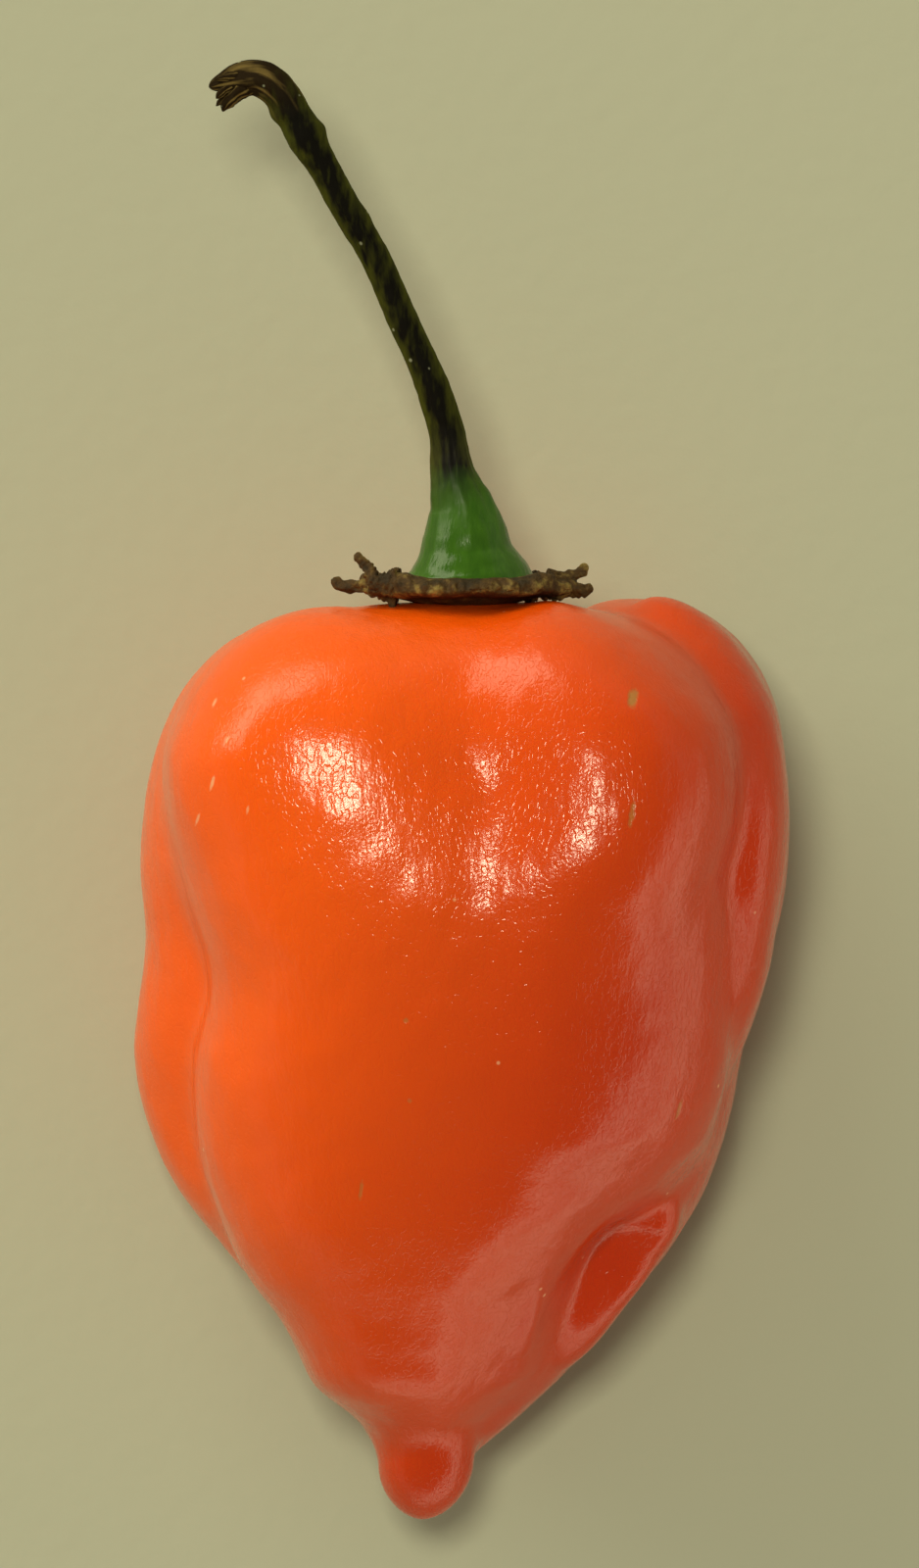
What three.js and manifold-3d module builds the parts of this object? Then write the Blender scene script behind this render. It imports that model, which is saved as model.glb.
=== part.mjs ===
// Habanero chilli, picked and lying on its side. Millimetres, +Z up, stem towards +Y, tip towards -Y.
// Three grown pieces: the lobed pod, the dried calyx frill on its crown, and the stalk.
import * as THREE from "three";
import { mergeVertices } from "three/addons/utils/BufferGeometryUtils.js";
import Module from "manifold-3d";

const wasm = await Module();
wasm.setup();

// ---------------------------------------------------------------- driving dimensions
const REST_CUT = 0.2; // how far the soft belly flattens against the surface it lies on
const GAP = 0.35; // clearance between grown pieces that touch
const RINGS_ALONG = 70; // pod facets from tip to crown
const RINGS_ROUND = 80; // pod facets round the girth
const CROWN_CENTRE = new THREE.Vector3(0.2, 49.55, 17.5); // middle of the calyx, on the crown
const CROWN_TILT = THREE.MathUtils.degToRad(1.5); // the crown faces slightly upwards
const CALYX_REACH = 5.2; // radius of the frill between its teeth
const CALYX_SEAT = 1.4; // height of the calyx top above CROWN_CENTRE
const CUSHION = 0.72; // share of the frill's radius that is thick cushion, inside its rim
const CUSHION_FOOT = 0.25; // height of the cushion's underside above CROWN_CENTRE, where the crown allows
const RIM_HEIGHT = 0.9; // middle of the rim above CROWN_CENTRE
const RIM_HALF = 0.4; // half the rim's thickness
const CRINKLE = 0.18; // how far the rim waves up and down
const HOLLOW_UNDER = 0.6; // most that the inner rim lifts clear of the crown
const INSIDE = 12; // a point this far below CROWN_CENTRE is well inside the pod

// The pod is a bundle of lobes. Each is a stack of sections along Y, closed by a rounded cap at both ends.
// foot and head: [Y of the end, cap length, cap roundness]. blend: width of the soft seam to its neighbours.
// square: 2 for an elliptical section, more for a squarer one, less for one with a ridge.
// rows: [Y, centre X, centre Z, half width, half height]
const LOBES = [
  { // broad upper body, running down as the ridge to the tip
    foot: [2, 3, 2],
    head: [49.7, 9.4, 2.8],
    blend: 0,
    square: 2.25,
    rows: [
      [2, -2, 8.9, 2.8, 3.2],
      [5, -2.3, 9.6, 2.8, 4.9],
      [7.2, -3.5, 10.6, 4.25, 7.5],
      [9.4, -4.1, 11.6, 4.75, 8.1],
      [11.2, -4.15, 12.2, 5.75, 8.6],
      [13.2, -4.2, 12.9, 7.2, 9.3],
      [16, -4, 13.8, 8.8, 10.1],
      [20, -2.6, 14.7, 11.5, 10.9],
      [25, -1.2, 15.6, 13.2, 12],
      [30, -0.3, 16.2, 13, 12.2],
      [35, 0, 16.4, 14.6, 12.2],
      [42, 0, 16.2, 15.2, 11.8],
      [49.5, 0.2, 16, 14.6, 10.8],
    ],
  },
  { // upper left shoulder
    foot: [20, 14, 2],
    head: [49.4, 7.6, 2.1],
    blend: 3.2,
    square: 2.4,
    rows: [
      [20, -3, 17.2, 8, 8.3],
      [28, -3.2, 19.2, 9, 8.5],
      [34, -4.4, 20.5, 9.2, 8.6],
      [38, -6, 20.8, 9, 8.6],
      [41, -7.2, 20.8, 8.2, 8.5],
      [44, -7.4, 20.6, 7, 8.4],
      [47, -7.1, 20, 6.8, 8.4],
      [49.4, -6.7, 19.4, 6.8, 8.3],
    ],
  },
  { // upper right shoulder, which runs across to the ridge
    foot: [22, 12, 2],
    head: [49.7, 8.5, 2.1],
    blend: 2.4,
    square: 2,
    rows: [
      [22, 2.8, 18, 8, 8.6],
      [27, 3.6, 19, 7.8, 8.7],
      [31, 4.6, 20.2, 7.4, 8.5],
      [35, 6.4, 21.6, 7.2, 8.2],
      [39, 7.4, 21.6, 7.4, 8.2],
      [43, 7, 21.2, 7.2, 8.1],
      [46.5, 5.6, 20.6, 6.4, 8],
      [49.7, 4.6, 19.8, 6, 7.8],
    ],
  },
  { // swelling low on the right, above the shelf
    foot: [3, 5, 2],
    head: [40, 9, 2],
    blend: 2,
    square: 1.7,
    rows: [
      [3, -1.8, 8.6, 2.4, 3.4],
      [6, -1.5, 9.6, 4.4, 6],
      [9, -1.3, 11, 6.2, 7.4],
      [12.1, -0.6, 12.2, 6.9, 8.6],
      [15.3, 1.1, 13.7, 7.6, 9.6],
      [18.5, 2.8, 15, 8.9, 10],
      [21, 4, 16.2, 9.4, 10.2],
      [25, 4.4, 17.4, 10, 10.2],
      [30, 4.6, 18.2, 10.3, 9.9],
      [35, 4.8, 18.5, 10.2, 9.6],
      [40, 5, 18.5, 9.6, 9.4],
    ],
  },
  { // lower right lobe, which stands proud of the shoulder above it
    foot: [12, 12, 2],
    head: [49.9, 8, 2.3],
    blend: 1.3,
    square: 2,
    rows: [
      [12, 7.1, 8.5, 6, 8],
      [20, 8.4, 9.2, 6, 9.7],
      [27, 9.3, 9.6, 6.3, 9.5],
      [33, 10.6, 9.8, 6.8, 9.6],
      [38, 11, 9.9, 6.8, 9.85],
      [43, 10.6, 10.2, 6.8, 10.15],
      [49.9, 9.6, 10.6, 6.7, 9.9],
    ],
  },
  { // fold along the top of that lobe
    foot: [23, 7, 2],
    head: [50, 7, 2.1],
    blend: 1,
    square: 2,
    rows: [
      [23, 12.9, 13.4, 2.2, 3.5],
      [28, 13.9, 15.2, 2.3, 4.4],
      [32, 14.6, 15.9, 2.4, 4.5],
      [38, 15.05, 17, 2.65, 4.8],
      [43, 14.3, 16.3, 2.9, 4.6],
      [46, 13, 15.2, 3.2, 4.4],
      [50, 10.6, 14.2, 3.7, 4.2],
    ],
  },
  { // lower left lobe, the waisted flank
    foot: [10.2, 9, 2],
    head: [48.7, 10.4, 2.3],
    blend: 0.9,
    square: 2,
    rows: [
      [10.2, -6.6, 7.4, 5.6, 6.8],
      [14.5, -7.4, 7.3, 6.2, 6.8],
      [18, -8.5, 7.4, 7, 7],
      [21.5, -9.3, 7.8, 7.7, 7.4],
      [25.5, -9.6, 8.5, 8.1, 8.5],
      [31, -9.4, 9.5, 7.7, 9.9],
      [36, -9.4, 10.6, 7.9, 10.9],
      [42, -9, 11, 7.75, 11.4],
      [48.7, -8.4, 11.2, 7.5, 11.3],
    ],
  },
  { // belly between the two lower lobes
    foot: [6, 9, 2],
    head: [48.4, 9, 2.2],
    blend: 3,
    square: 2,
    rows: [
      [6, -1, 8.8, 6, 6.2],
      [14, 0, 8.8, 9, 7],
      [24, 1, 9.6, 10, 7.8],
      [34, 1, 10.4, 11, 8.4],
      [48.4, 1, 11.4, 10, 9],
    ],
  },
  { // narrow lobe low on the right
    foot: [2.8, 9, 2],
    head: [27, 11, 2],
    blend: 1.2,
    square: 2.2,
    rows: [
      [2.8, -1.1, 8.4, 3.3, 3.6],
      [7, 0.7, 8.4, 4.8, 4.8],
      [11, 3.1, 8.6, 5, 5.8],
      [15, 5.2, 9, 5.5, 6.6],
      [20, 7.4, 9.6, 6, 8],
      [27, 8, 10.6, 6.2, 9],
    ],
  },
  { // level shelf on top of it, with a tight edge
    foot: [8, 4, 2],
    head: [18.4, 3.6, 2],
    blend: 0.9,
    square: 2.6,
    rows: [
      [8, 4.7, 10.2, 2.5, 2.2],
      [11, 5.85, 11.6, 2.85, 2.3],
      [13.7, 7.4, 12.5, 3.15, 2.3],
      [16, 8.9, 13.1, 3.1, 2.4],
      [18.4, 10, 13.7, 2.7, 2.4],
    ],
  },
  { // knob at the tip
    foot: [0, 3, 1.8],
    head: [7.5, 3.5, 2],
    blend: 0.7,
    square: 2,
    rows: [
      [0, -2.05, 10, 2.55, 2.9],
      [3.2, -1.85, 10.4, 2.6, 3],
      [7.5, -1.6, 11.4, 2.8, 3.4],
    ],
  },
];
// Soft hollows. at: centre, size: reach along X, Y, Z, turn: degrees about Z, depth: how far the skin
// sinks, below 0 where it swells.
const HOLLOWS = [
  { at: [8, 15.2, 15.5], size: [2.2, 1.9, 3.2], turn: 0, depth: 1.3 }, // dent low on the right
  { at: [6.9, 12.6, 14.5], size: [1.6, 2.6, 3.2], turn: -10, depth: 0.8 }, // tail of the dent towards the tip
  { at: [7.4, 13.2, 14.4], size: [0.5, 1.9, 3], turn: -17, depth: -0.35 }, // ridge inside the dent
  { at: [10.3, 15.6, 14.6], size: [0.7, 1.5, 3], turn: -40, depth: -0.3 }, // rim at the dent's upper end
  { at: [4, 11, 17.5], size: [0.7, 3.6, 5], turn: -14, depth: -0.4 }, // edge of the ridge near the tip
  { at: [0.2, 51.1, 17.5], size: [5.5, 2.6, 5.5], turn: 0, depth: 1 }, // crown, under the calyx
  { at: [-1.6, 50.4, 25], size: [3.6, 2.2, 3.2], turn: 0, depth: 0.4 }, // seam between the shoulders
];
// Line inside the pod from which its skin is found outwards: [X, Y, Z] at the tip end and at the crown end.
const CORE = [
  [-2.2, 6, 9.8],
  [-0.8, 20, 13.6],
  [0.2, 36, 15.6],
];

// Stalk: [X, Y, Z, half width, half depth]. The foot flares to one side, the end hooks to the left.
const STALK = [
  [0.42, 50.8, 17.7, 3.6, 3.3],
  [0.4, 51.32, 17.75, 3.3, 3.1],
  [0.36, 51.8, 17.8, 2.95, 2.8],
  [0.3, 52.5, 17.85, 2.5, 2.45],
  [0.24, 53.5, 17.95, 2.2, 2.2],
  [0.05, 54.75, 18.1, 1.76, 1.75],
  [-0.2, 55.63, 18.2, 1.45, 1.45],
  [-0.44, 56.71, 18.3, 1.15, 1.15],
  [-0.84, 59.07, 18.55, 0.93, 0.93],
  [-1.67, 61.62, 18.85, 0.86, 0.86],
  [-2.86, 64.28, 19.1, 0.8, 0.8],
  [-4.53, 68.01, 19.5, 0.78, 0.78],
  [-6.3, 71.06, 19.85, 0.79, 0.8],
  [-7.49, 73.22, 20.1, 0.84, 0.84],
  [-8.22, 74.4, 20.2, 0.95, 0.95],
  [-8.87, 75.68, 20.3, 0.92, 0.9],
  [-9.6, 76.86, 20.4, 0.95, 0.9],
  [-10.64, 77.65, 20.4, 0.96, 0.8],
  [-11.82, 77.7, 20.3, 0.85, 0.6],
  [-12.8, 77.45, 20.2, 0.5, 0.45],
  [-13.49, 77.2, 20.15, 0.2, 0.18],
];
// The lower torn fibre of the picked end.
const TORN_FIBRE = [
  [-11.03, 77.35, 20.3, 0.45, 0.5],
  [-11.92, 76.86, 20.3, 0.45, 0.45],
  [-12.51, 76.37, 20.25, 0.36, 0.34],
  [-12.76, 75.88, 20.2, 0.16, 0.18],
];
// Calyx teeth: [degrees round the crown, reach beyond the rim, half angle in degrees, lift].
const TEETH = [
  [3, 1.7, 8, 0.1],
  [35, 0.5, 13, 0.5],
  [62, 0.1, 12, 0.2],
  [140, 0.15, 13, 0.7],
  [158, 0.8, 7, 1.5],
  [174, 1.9, 7, 0.3],
  [217, 1.8, 8, 0.5],
  [261, 1.6, 9, 0.6],
  [314, 1.9, 8, 0.4],
];

// ---------------------------------------------------------------- curves and fields
// A smooth curve through rows keyed by their first number: cubic Hermite pieces with chord slopes.
function curve(rows) {
  const last = rows.length - 1;
  const slope = (i, c) => {
    const a = rows[Math.max(i - 1, 0)];
    const b = rows[Math.min(i + 1, last)];
    return (b[c] - a[c]) / (b[0] - a[0]);
  };
  return (key) => {
    const k = Math.min(Math.max(key, rows[0][0]), rows[last][0]);
    let i = 0;
    while (i < last - 1 && k > rows[i + 1][0]) i += 1;
    const h = rows[i + 1][0] - rows[i][0];
    const s = (k - rows[i][0]) / h;
    const out = [];
    for (let c = 1; c < rows[0].length; c += 1) {
      out.push(
        (2 * s ** 3 - 3 * s ** 2 + 1) * rows[i][c] +
          (s ** 3 - 2 * s ** 2 + s) * h * slope(i, c) +
          (-2 * s ** 3 + 3 * s ** 2) * rows[i + 1][c] +
          (s ** 3 - s ** 2) * h * slope(i + 1, c),
      );
    }
    return out;
  };
}

// Height of a rounded cap, 1 at its base (t = 0) and 0 at its end (t = 1).
function cap(t, roundness) {
  const u = Math.min(Math.max(t, 0), 1);
  return (1 - u ** roundness) ** (1 / roundness);
}

function smoothMin(a, b, width) {
  if (width <= 0) return Math.min(a, b);
  const h = Math.min(Math.max(0.5 + (0.5 * (b - a)) / width, 0), 1);
  return b + (a - b) * h - width * h * (1 - h);
}

// Signed size of the step from (x, y, z) to one lobe's skin: negative inside.
function lobeField(lobe) {
  const section = curve(lobe.rows);
  const [y0, c0, n0] = lobe.foot;
  const [y1, c1, n1] = lobe.head;
  return (x, y, z) => {
    const yc = Math.min(Math.max(y, y0), y1);
    const [cx, cz, rx, rz] = section(yc);
    const closing = cap((y0 + c0 - yc) / c0, n0) * cap((yc - y1 + c1) / c1, n1);
    const a = Math.max(rx * closing, 0.05);
    const b = Math.max(rz * closing, 0.05);
    const n = lobe.square;
    const radius = (Math.abs((x - cx) / a) ** n + Math.abs((z - cz) / b) ** n) ** (1 / n);
    return (radius - 1) * Math.sqrt(a * b) + Math.abs(y - yc);
  };
}
const LOBE_FIELDS = LOBES.map((lobe) => ({ at: lobeField(lobe), blend: lobe.blend }));

// The whole pod: lobes blended in turn, then the hollows pressed in.
function podField(x, y, z) {
  let f = Infinity;
  for (const lobe of LOBE_FIELDS) {
    const d = lobe.at(x, y, z);
    f = f === Infinity ? d : smoothMin(f, d, lobe.blend);
  }
  for (const { at, size, turn, depth } of HOLLOWS) {
    const c = Math.cos(THREE.MathUtils.degToRad(turn));
    const s = Math.sin(THREE.MathUtils.degToRad(turn));
    const dx = x - at[0];
    const dy = y - at[1];
    const u = (dx * c + dy * s) / size[0];
    const v = (dy * c - dx * s) / size[1];
    const w = (z - at[2]) / size[2];
    f += depth * Math.exp(-(u * u + v * v + w * w));
  }
  return f;
}

// Distance along a direction at which the skin is met, by coarse steps and then halving.
function skinDistance(origin, direction) {
  const at = (t) =>
    podField(origin.x + direction.x * t, origin.y + direction.y * t, origin.z + direction.z * t);
  let outer = 0.5;
  while (at(outer) < 0 && outer < 60) outer += 0.5;
  let inner = outer - 0.5;
  for (let i = 0; i < 30; i += 1) {
    const middle = 0.5 * (inner + outer);
    if (at(middle) < 0) inner = middle;
    else outer = middle;
  }
  return 0.5 * (inner + outer);
}

// ---------------------------------------------------------------- closed bodies
// Rows of rings, closed by a point at each end, wound so the faces look outwards.
function closedRings(first, rings, last) {
  const count = rings[0].length;
  const points = [first, ...rings.flat(), last];
  const index = [];
  const id = (r, i) => 1 + r * count + (((i % count) + count) % count);
  for (let i = 0; i < count; i += 1) {
    index.push(0, id(0, i + 1), id(0, i));
    index.push(points.length - 1, id(rings.length - 1, i), id(rings.length - 1, i + 1));
    for (let r = 0; r < rings.length - 1; r += 1) {
      index.push(id(r, i), id(r, i + 1), id(r + 1, i + 1));
      index.push(id(r, i), id(r + 1, i + 1), id(r + 1, i));
    }
  }
  const geometry = new THREE.BufferGeometry();
  geometry.setAttribute("position", new THREE.Float32BufferAttribute(points.flatMap((p) => p.toArray()), 3));
  geometry.setIndex(index);
  return geometry;
}

function toSolid(geometry) {
  const bare = geometry.clone();
  bare.deleteAttribute("normal");
  bare.deleteAttribute("uv");
  const merged = mergeVertices(bare, 1e-4);
  const mesh = new wasm.Mesh({
    numProp: 3,
    vertProperties: new Float32Array(merged.attributes.position.array),
    triVerts: new Uint32Array(merged.index.array),
  });
  const solid = new wasm.Manifold(mesh);
  if (solid.volume() < 0) throw new Error("a body is inside out");
  return solid;
}

function toGeometry(solid) {
  const mesh = solid.getMesh();
  const points = new Float32Array(mesh.numVert * 3);
  for (let i = 0; i < mesh.numVert; i += 1)
    points.set(mesh.vertProperties.subarray(i * mesh.numProp, i * mesh.numProp + 3), i * 3);
  const geometry = new THREE.BufferGeometry();
  geometry.setAttribute("position", new THREE.BufferAttribute(points, 3));
  geometry.setIndex(new THREE.BufferAttribute(mesh.triVerts, 1));
  geometry.computeVertexNormals();
  return geometry;
}

// Point of the core line at a share of its length, through its three stations.
function corePoint(share) {
  const line = new THREE.CatmullRomCurve3(CORE.map((p) => new THREE.Vector3(...p)));
  return line.getPoint(share);
}

// The pod: rays fan out from the core line, half a turn round each of its ends and level along it.
function pod() {
  const fan = 0.3; // share of the rings that go to each rounded end
  const rings = [];
  for (let r = 1; r < RINGS_ALONG; r += 1) {
    const u = r / RINGS_ALONG;
    const share = Math.min(Math.max((u - fan) / (1 - 2 * fan), 0), 1);
    const rise = u < fan ? 1 - u / fan : u > 1 - fan ? (u - 1 + fan) / fan : 0;
    const lift = (Math.sign(u - 0.5) * rise * Math.PI) / 2;
    const origin = corePoint(share);
    const ring = [];
    for (let i = 0; i < RINGS_ROUND; i += 1) {
      const a = (2 * Math.PI * i) / RINGS_ROUND;
      const direction = new THREE.Vector3(
        Math.cos(lift) * Math.cos(a),
        Math.sin(lift),
        -Math.cos(lift) * Math.sin(a),
      );
      ring.push(origin.clone().addScaledVector(direction, skinDistance(origin, direction)));
    }
    rings.push(ring);
  }
  const end = (share, way) => {
    const origin = corePoint(share);
    const direction = new THREE.Vector3(0, way, 0);
    return origin.addScaledVector(direction, skinDistance(origin, direction));
  };
  return toSolid(closedRings(end(0, -1), rings, end(1, 1)));
}

// A grown shaft: ellipses set square to a smooth centre line, with a domed or flat start and end.
function shaft(rows, count, steps) {
  const centres = new THREE.CatmullRomCurve3(
    rows.map(([x, y, z]) => new THREE.Vector3(x, y, z)),
    false,
    "centripetal",
  );
  const halves = curve(rows.map(([, , , w, d], i) => [i, w, d]));
  const up = new THREE.Vector3(0, 0, 1);
  const rings = [];
  for (let s = 0; s <= steps; s += 1) {
    const t = s / steps;
    const centre = centres.getPoint(t);
    const along = centres.getTangent(t);
    const side = new THREE.Vector3().crossVectors(along, up).normalize();
    const top = new THREE.Vector3().crossVectors(side, along).normalize();
    const [w, d] = halves(t * (rows.length - 1));
    const ring = [];
    for (let i = 0; i < count; i += 1) {
      const a = (2 * Math.PI * i) / count;
      ring.push(
        centre
          .clone()
          .addScaledVector(side, w * Math.cos(a))
          .addScaledVector(top, -d * Math.sin(a)),
      );
    }
    rings.push(ring);
  }
  return toSolid(closedRings(centres.getPoint(0), rings, centres.getPoint(1)));
}

// Unit directions of the crown: across it, up its face, and out along the stalk.
const CROWN_X = new THREE.Vector3(1, 0, 0);
const CROWN_OUT = new THREE.Vector3(0, Math.cos(CROWN_TILT), Math.sin(CROWN_TILT));
const CROWN_UP = new THREE.Vector3(0, -Math.sin(CROWN_TILT), Math.cos(CROWN_TILT));

function crownPoint(radius, angle, height) {
  return CROWN_CENTRE.clone()
    .addScaledVector(CROWN_X, radius * Math.cos(angle))
    .addScaledVector(CROWN_UP, radius * Math.sin(angle))
    .addScaledVector(CROWN_OUT, height);
}

// Y at which a line along the stalk's way meets the pod's crown.
function crownSkin(x, z) {
  const base = new THREE.Vector3(x, CROWN_CENTRE.y - INSIDE, z);
  return base.y + skinDistance(base, new THREE.Vector3(0, 1, 0));
}

// The calyx: a thick cushion under the stalk that thins to a crinkled rim with dried teeth.
function calyx() {
  const count = 72;
  const tooth = (angle) => {
    let reach = 0;
    let lift = 0;
    for (const [at, out, half, up] of TEETH) {
      const off = ((THREE.MathUtils.radToDeg(angle) - at + 900) % 360) - 180;
      const share = Math.exp(-((off / half) ** 2));
      reach += out * share;
      lift += up * share;
    }
    return [reach, lift];
  };
  const surface = (share, top) => {
    const ring = [];
    for (let i = 0; i < count; i += 1) {
      const angle = (-2 * Math.PI * i) / count;
      const [reach, lift] = tooth(angle);
      const radius = share * (CALYX_REACH + reach * share ** 4);
      const rim = Math.max(share - CUSHION, 0) / (1 - CUSHION);
      const crinkle = CRINKLE * Math.sin(11 * angle + 1.3) * rim;
      const middle = RIM_HEIGHT + crinkle + lift * rim ** 2;
      const height = top
        ? CALYX_SEAT + (middle + RIM_HALF - CALYX_SEAT) * rim
        : CUSHION_FOOT + (middle - RIM_HALF - CUSHION_FOOT) * rim;
      const point = crownPoint(radius, angle, height);
      if (!top) {
        const clear = crownSkin(point.x, point.z) + GAP;
        const most = share < 0.9 ? clear + HOLLOW_UNDER : Infinity;
        point.y = rim > 0 ? Math.min(Math.max(point.y, clear), most) : clear;
      }
      ring.push(point);
    }
    return ring;
  };
  const shares = [0.16, 0.4, 0.66, 0.8, 0.9, 1.0];
  const under = shares.map((s) => surface(s, false));
  const over = [...shares].reverse().map((s) => surface(s, true));
  const centre = crownPoint(0, 0, 0);
  centre.y = crownSkin(centre.x, centre.z) + GAP;
  const rings = [...under, ...over];
  return toSolid(closedRings(centre, rings, crownPoint(0, 0, CALYX_SEAT)));
}

// The stalk: shaft with its torn fibre, its foot cut level a gap above the calyx.
function stem() {
  const body = shaft(STALK, 16, 46).add(shaft(TORN_FIBRE, 8, 8));
  const level = CROWN_CENTRE.dot(CROWN_OUT) + CALYX_SEAT + GAP;
  return body.trimByPlane(CROWN_OUT.toArray(), level);
}

// ---------------------------------------------------------------- the chilli
const PIECES = [
  { name: "fruit", solid: pod().trimByPlane([0, 0, 1], REST_CUT), colour: 0xd8481a, roughness: 0.35 },
  { name: "calyx", solid: calyx(), colour: 0x5b4a1e, roughness: 0.85 },
  { name: "stem", solid: stem(), colour: 0x35400f, roughness: 0.5 },
];

// The whole chilli, stalk included, is centred on the surface it lies on.
const bounds = new THREE.Box3();
for (const { solid } of PIECES) {
  const { min, max } = solid.boundingBox();
  bounds.expandByPoint(new THREE.Vector3(...min));
  bounds.expandByPoint(new THREE.Vector3(...max));
}
const middle = bounds.getCenter(new THREE.Vector3());

const group = new THREE.Group();
group.name = "chilli_pepper";
for (const { name, solid, colour, roughness } of PIECES) {
  const material = new THREE.MeshStandardMaterial({ color: colour, roughness });
  const mesh = new THREE.Mesh(toGeometry(solid), material);
  mesh.name = name;
  mesh.position.set(-middle.x, -middle.y, -bounds.min.z);
  group.add(mesh);
}

export default group;
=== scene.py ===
"""Looks of a ripe habanero chilli, picked and lying on its side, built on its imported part.

The three grown pieces, the lobed pod, the dried calyx frill and the stalk, replace the plain CAD solids.
Lengths are millimetres in the pod's own frame (tip at Y = 0, stalk towards +Y, +Z up) until a mesh is
written, which moves them to the row's frame and turns them to metres.
"""
import logging
import math
from collections.abc import Callable, Sequence
from dataclasses import dataclass, field
from enum import Enum
from functools import cached_property
from typing import Any

import bpy
import numpy as np
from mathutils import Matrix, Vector


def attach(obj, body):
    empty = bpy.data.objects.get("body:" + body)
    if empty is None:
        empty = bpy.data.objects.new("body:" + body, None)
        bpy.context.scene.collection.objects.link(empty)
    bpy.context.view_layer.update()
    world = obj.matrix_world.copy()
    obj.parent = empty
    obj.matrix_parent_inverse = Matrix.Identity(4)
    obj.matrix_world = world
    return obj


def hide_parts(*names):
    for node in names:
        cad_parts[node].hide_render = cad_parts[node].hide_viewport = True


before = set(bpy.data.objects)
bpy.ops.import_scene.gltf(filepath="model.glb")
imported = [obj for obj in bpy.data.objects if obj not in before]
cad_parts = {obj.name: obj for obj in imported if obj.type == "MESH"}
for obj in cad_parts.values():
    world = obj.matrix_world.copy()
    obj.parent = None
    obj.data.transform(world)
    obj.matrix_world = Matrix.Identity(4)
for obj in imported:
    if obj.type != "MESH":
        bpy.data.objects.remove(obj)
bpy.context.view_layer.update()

log = logging.getLogger("chilli")
Row = tuple[float, ...]
Array = np.ndarray

MM = 0.001
PART_MIDDLE = np.array([0.051, 39.342, 0.2])  # pod frame, mm: the middle of the whole chilli's base
REST_CUT = 0.2  # mm the soft belly flattens against the surface it lies on
COSINES = 9  # summed in a ripple
THINNEST = 0.02  # share of a path's section that its rounded end still keeps
TABLE_ROWS = 700  # finely spaced stations of a lobe
LEAST_RADIUS = 0.05  # mm, which a lobe keeps at its two ends


class Body(Enum):
    """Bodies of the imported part."""

    ROOT = "root"


class Slot(Enum):
    """Material slots of the part's record."""

    SKIN = "skin"
    CALYX = "dried_calyx"
    STALK = "stalk"


# ---------------------------------------------------------------- arithmetic on whole arrays
def linear(hex_colour: str) -> tuple[float, float, float, float]:
    """Turns an sRGB hex colour into the linear colour that a node takes.

    Args:
        hex_colour: Six hex digits, with or without a leading #.

    Returns:
        Linear red, green and blue, and an opacity of 1.
    """
    digits = hex_colour.lstrip("#")
    parts = [int(digits[i : i + 2], 16) / 255 for i in (0, 2, 4)]
    red, green, blue = (c / 12.92 if c <= 0.04045 else ((c + 0.055) / 1.055) ** 2.4 for c in parts)
    return red, green, blue, 1.0


def hermite(rows: Array, keys: Array) -> Array:
    """Reads a smooth curve through rows that are keyed by their first column.

    On each piece, with s running 0 to 1: (2s^3 - 3s^2 + 1) a + (s^3 - 2s^2 + s) slope_a
    + (3s^2 - 2s^3) b + (s^3 - s^2) slope_b, where the slopes are those of the chords across each row.

    Args:
        rows: Key and values, one row a station.
        keys: Where to read the curve.

    Returns:
        The values at each key, one row a key.
    """
    knots, values = rows[:, 0], rows[:, 1:]
    last = len(knots) - 1
    before = np.maximum(np.arange(last + 1) - 1, 0)
    after = np.minimum(np.arange(last + 1) + 1, last)
    slopes = (values[after] - values[before]) / (knots[after] - knots[before])[:, None]
    k = np.clip(keys, knots[0], knots[-1])
    i = np.clip(np.searchsorted(knots, k, side="right") - 1, 0, last - 1)
    h = (knots[i + 1] - knots[i])[:, None]
    s = (k - knots[i])[:, None] / h
    return (
        (2 * s**3 - 3 * s**2 + 1) * values[i]
        + (s**3 - 2 * s**2 + s) * h * slopes[i]
        + (3 * s**2 - 2 * s**3) * values[i + 1]
        + (s**3 - s**2) * h * slopes[i + 1]
    )


def smooth_min(a: Array, b: Array, width: float) -> Array:
    """The lesser of two fields, softened where they are nearly equal.

    It is b + (a - b) h - width h (1 - h), where h runs 0 to 1 across the seam.

    Args:
        a: One field.
        b: The other.
        width: Width of the soft seam.

    Returns:
        The joined field.
    """
    if width <= 0:
        return np.minimum(a, b)
    h = np.clip(0.5 + 0.5 * (b - a) / width, 0, 1)
    return b + (a - b) * h - width * h * (1 - h)


def cap(t: Array, roundness: float) -> Array:
    """Height of a rounded cap: (1 - t^n)^(1/n), which is 1 at its base and 0 at its end."""
    return (1 - np.clip(t, 0, 1) ** roundness) ** (1 / roundness)


def ripple(points: Array, wavelength: float, seed: int) -> Array:
    """Smooth random swell: a sum of cosines along random directions, about -1 to 1.

    Args:
        points: Positions in mm, any shape ending in 3.
        wavelength: Typical distance between crests in mm.
        seed: Picks the directions and phases.

    Returns:
        The swell at each point.
    """
    rng = np.random.default_rng(seed)
    directions = rng.normal(size=(COSINES, 3))
    directions /= np.linalg.norm(directions, axis=1, keepdims=True)
    steps = 2 * math.pi / (wavelength * rng.uniform(0.7, 1.4, COSINES))
    phases = rng.uniform(0, 2 * math.pi, COSINES)
    return np.cos(points @ (directions * steps[:, None]).T + phases).sum(-1) / math.sqrt(2 * COSINES)


@dataclass(frozen=True)
class Waves:
    """A faint random swell of a surface: its height and typical wavelength in mm, and a seed."""

    height: float
    wavelength: float
    seed: int

    def at(self, points: Array) -> Array:
        """Height of the swell at each point, mm."""
        return self.height * ripple(points, self.wavelength, self.seed)


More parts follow.
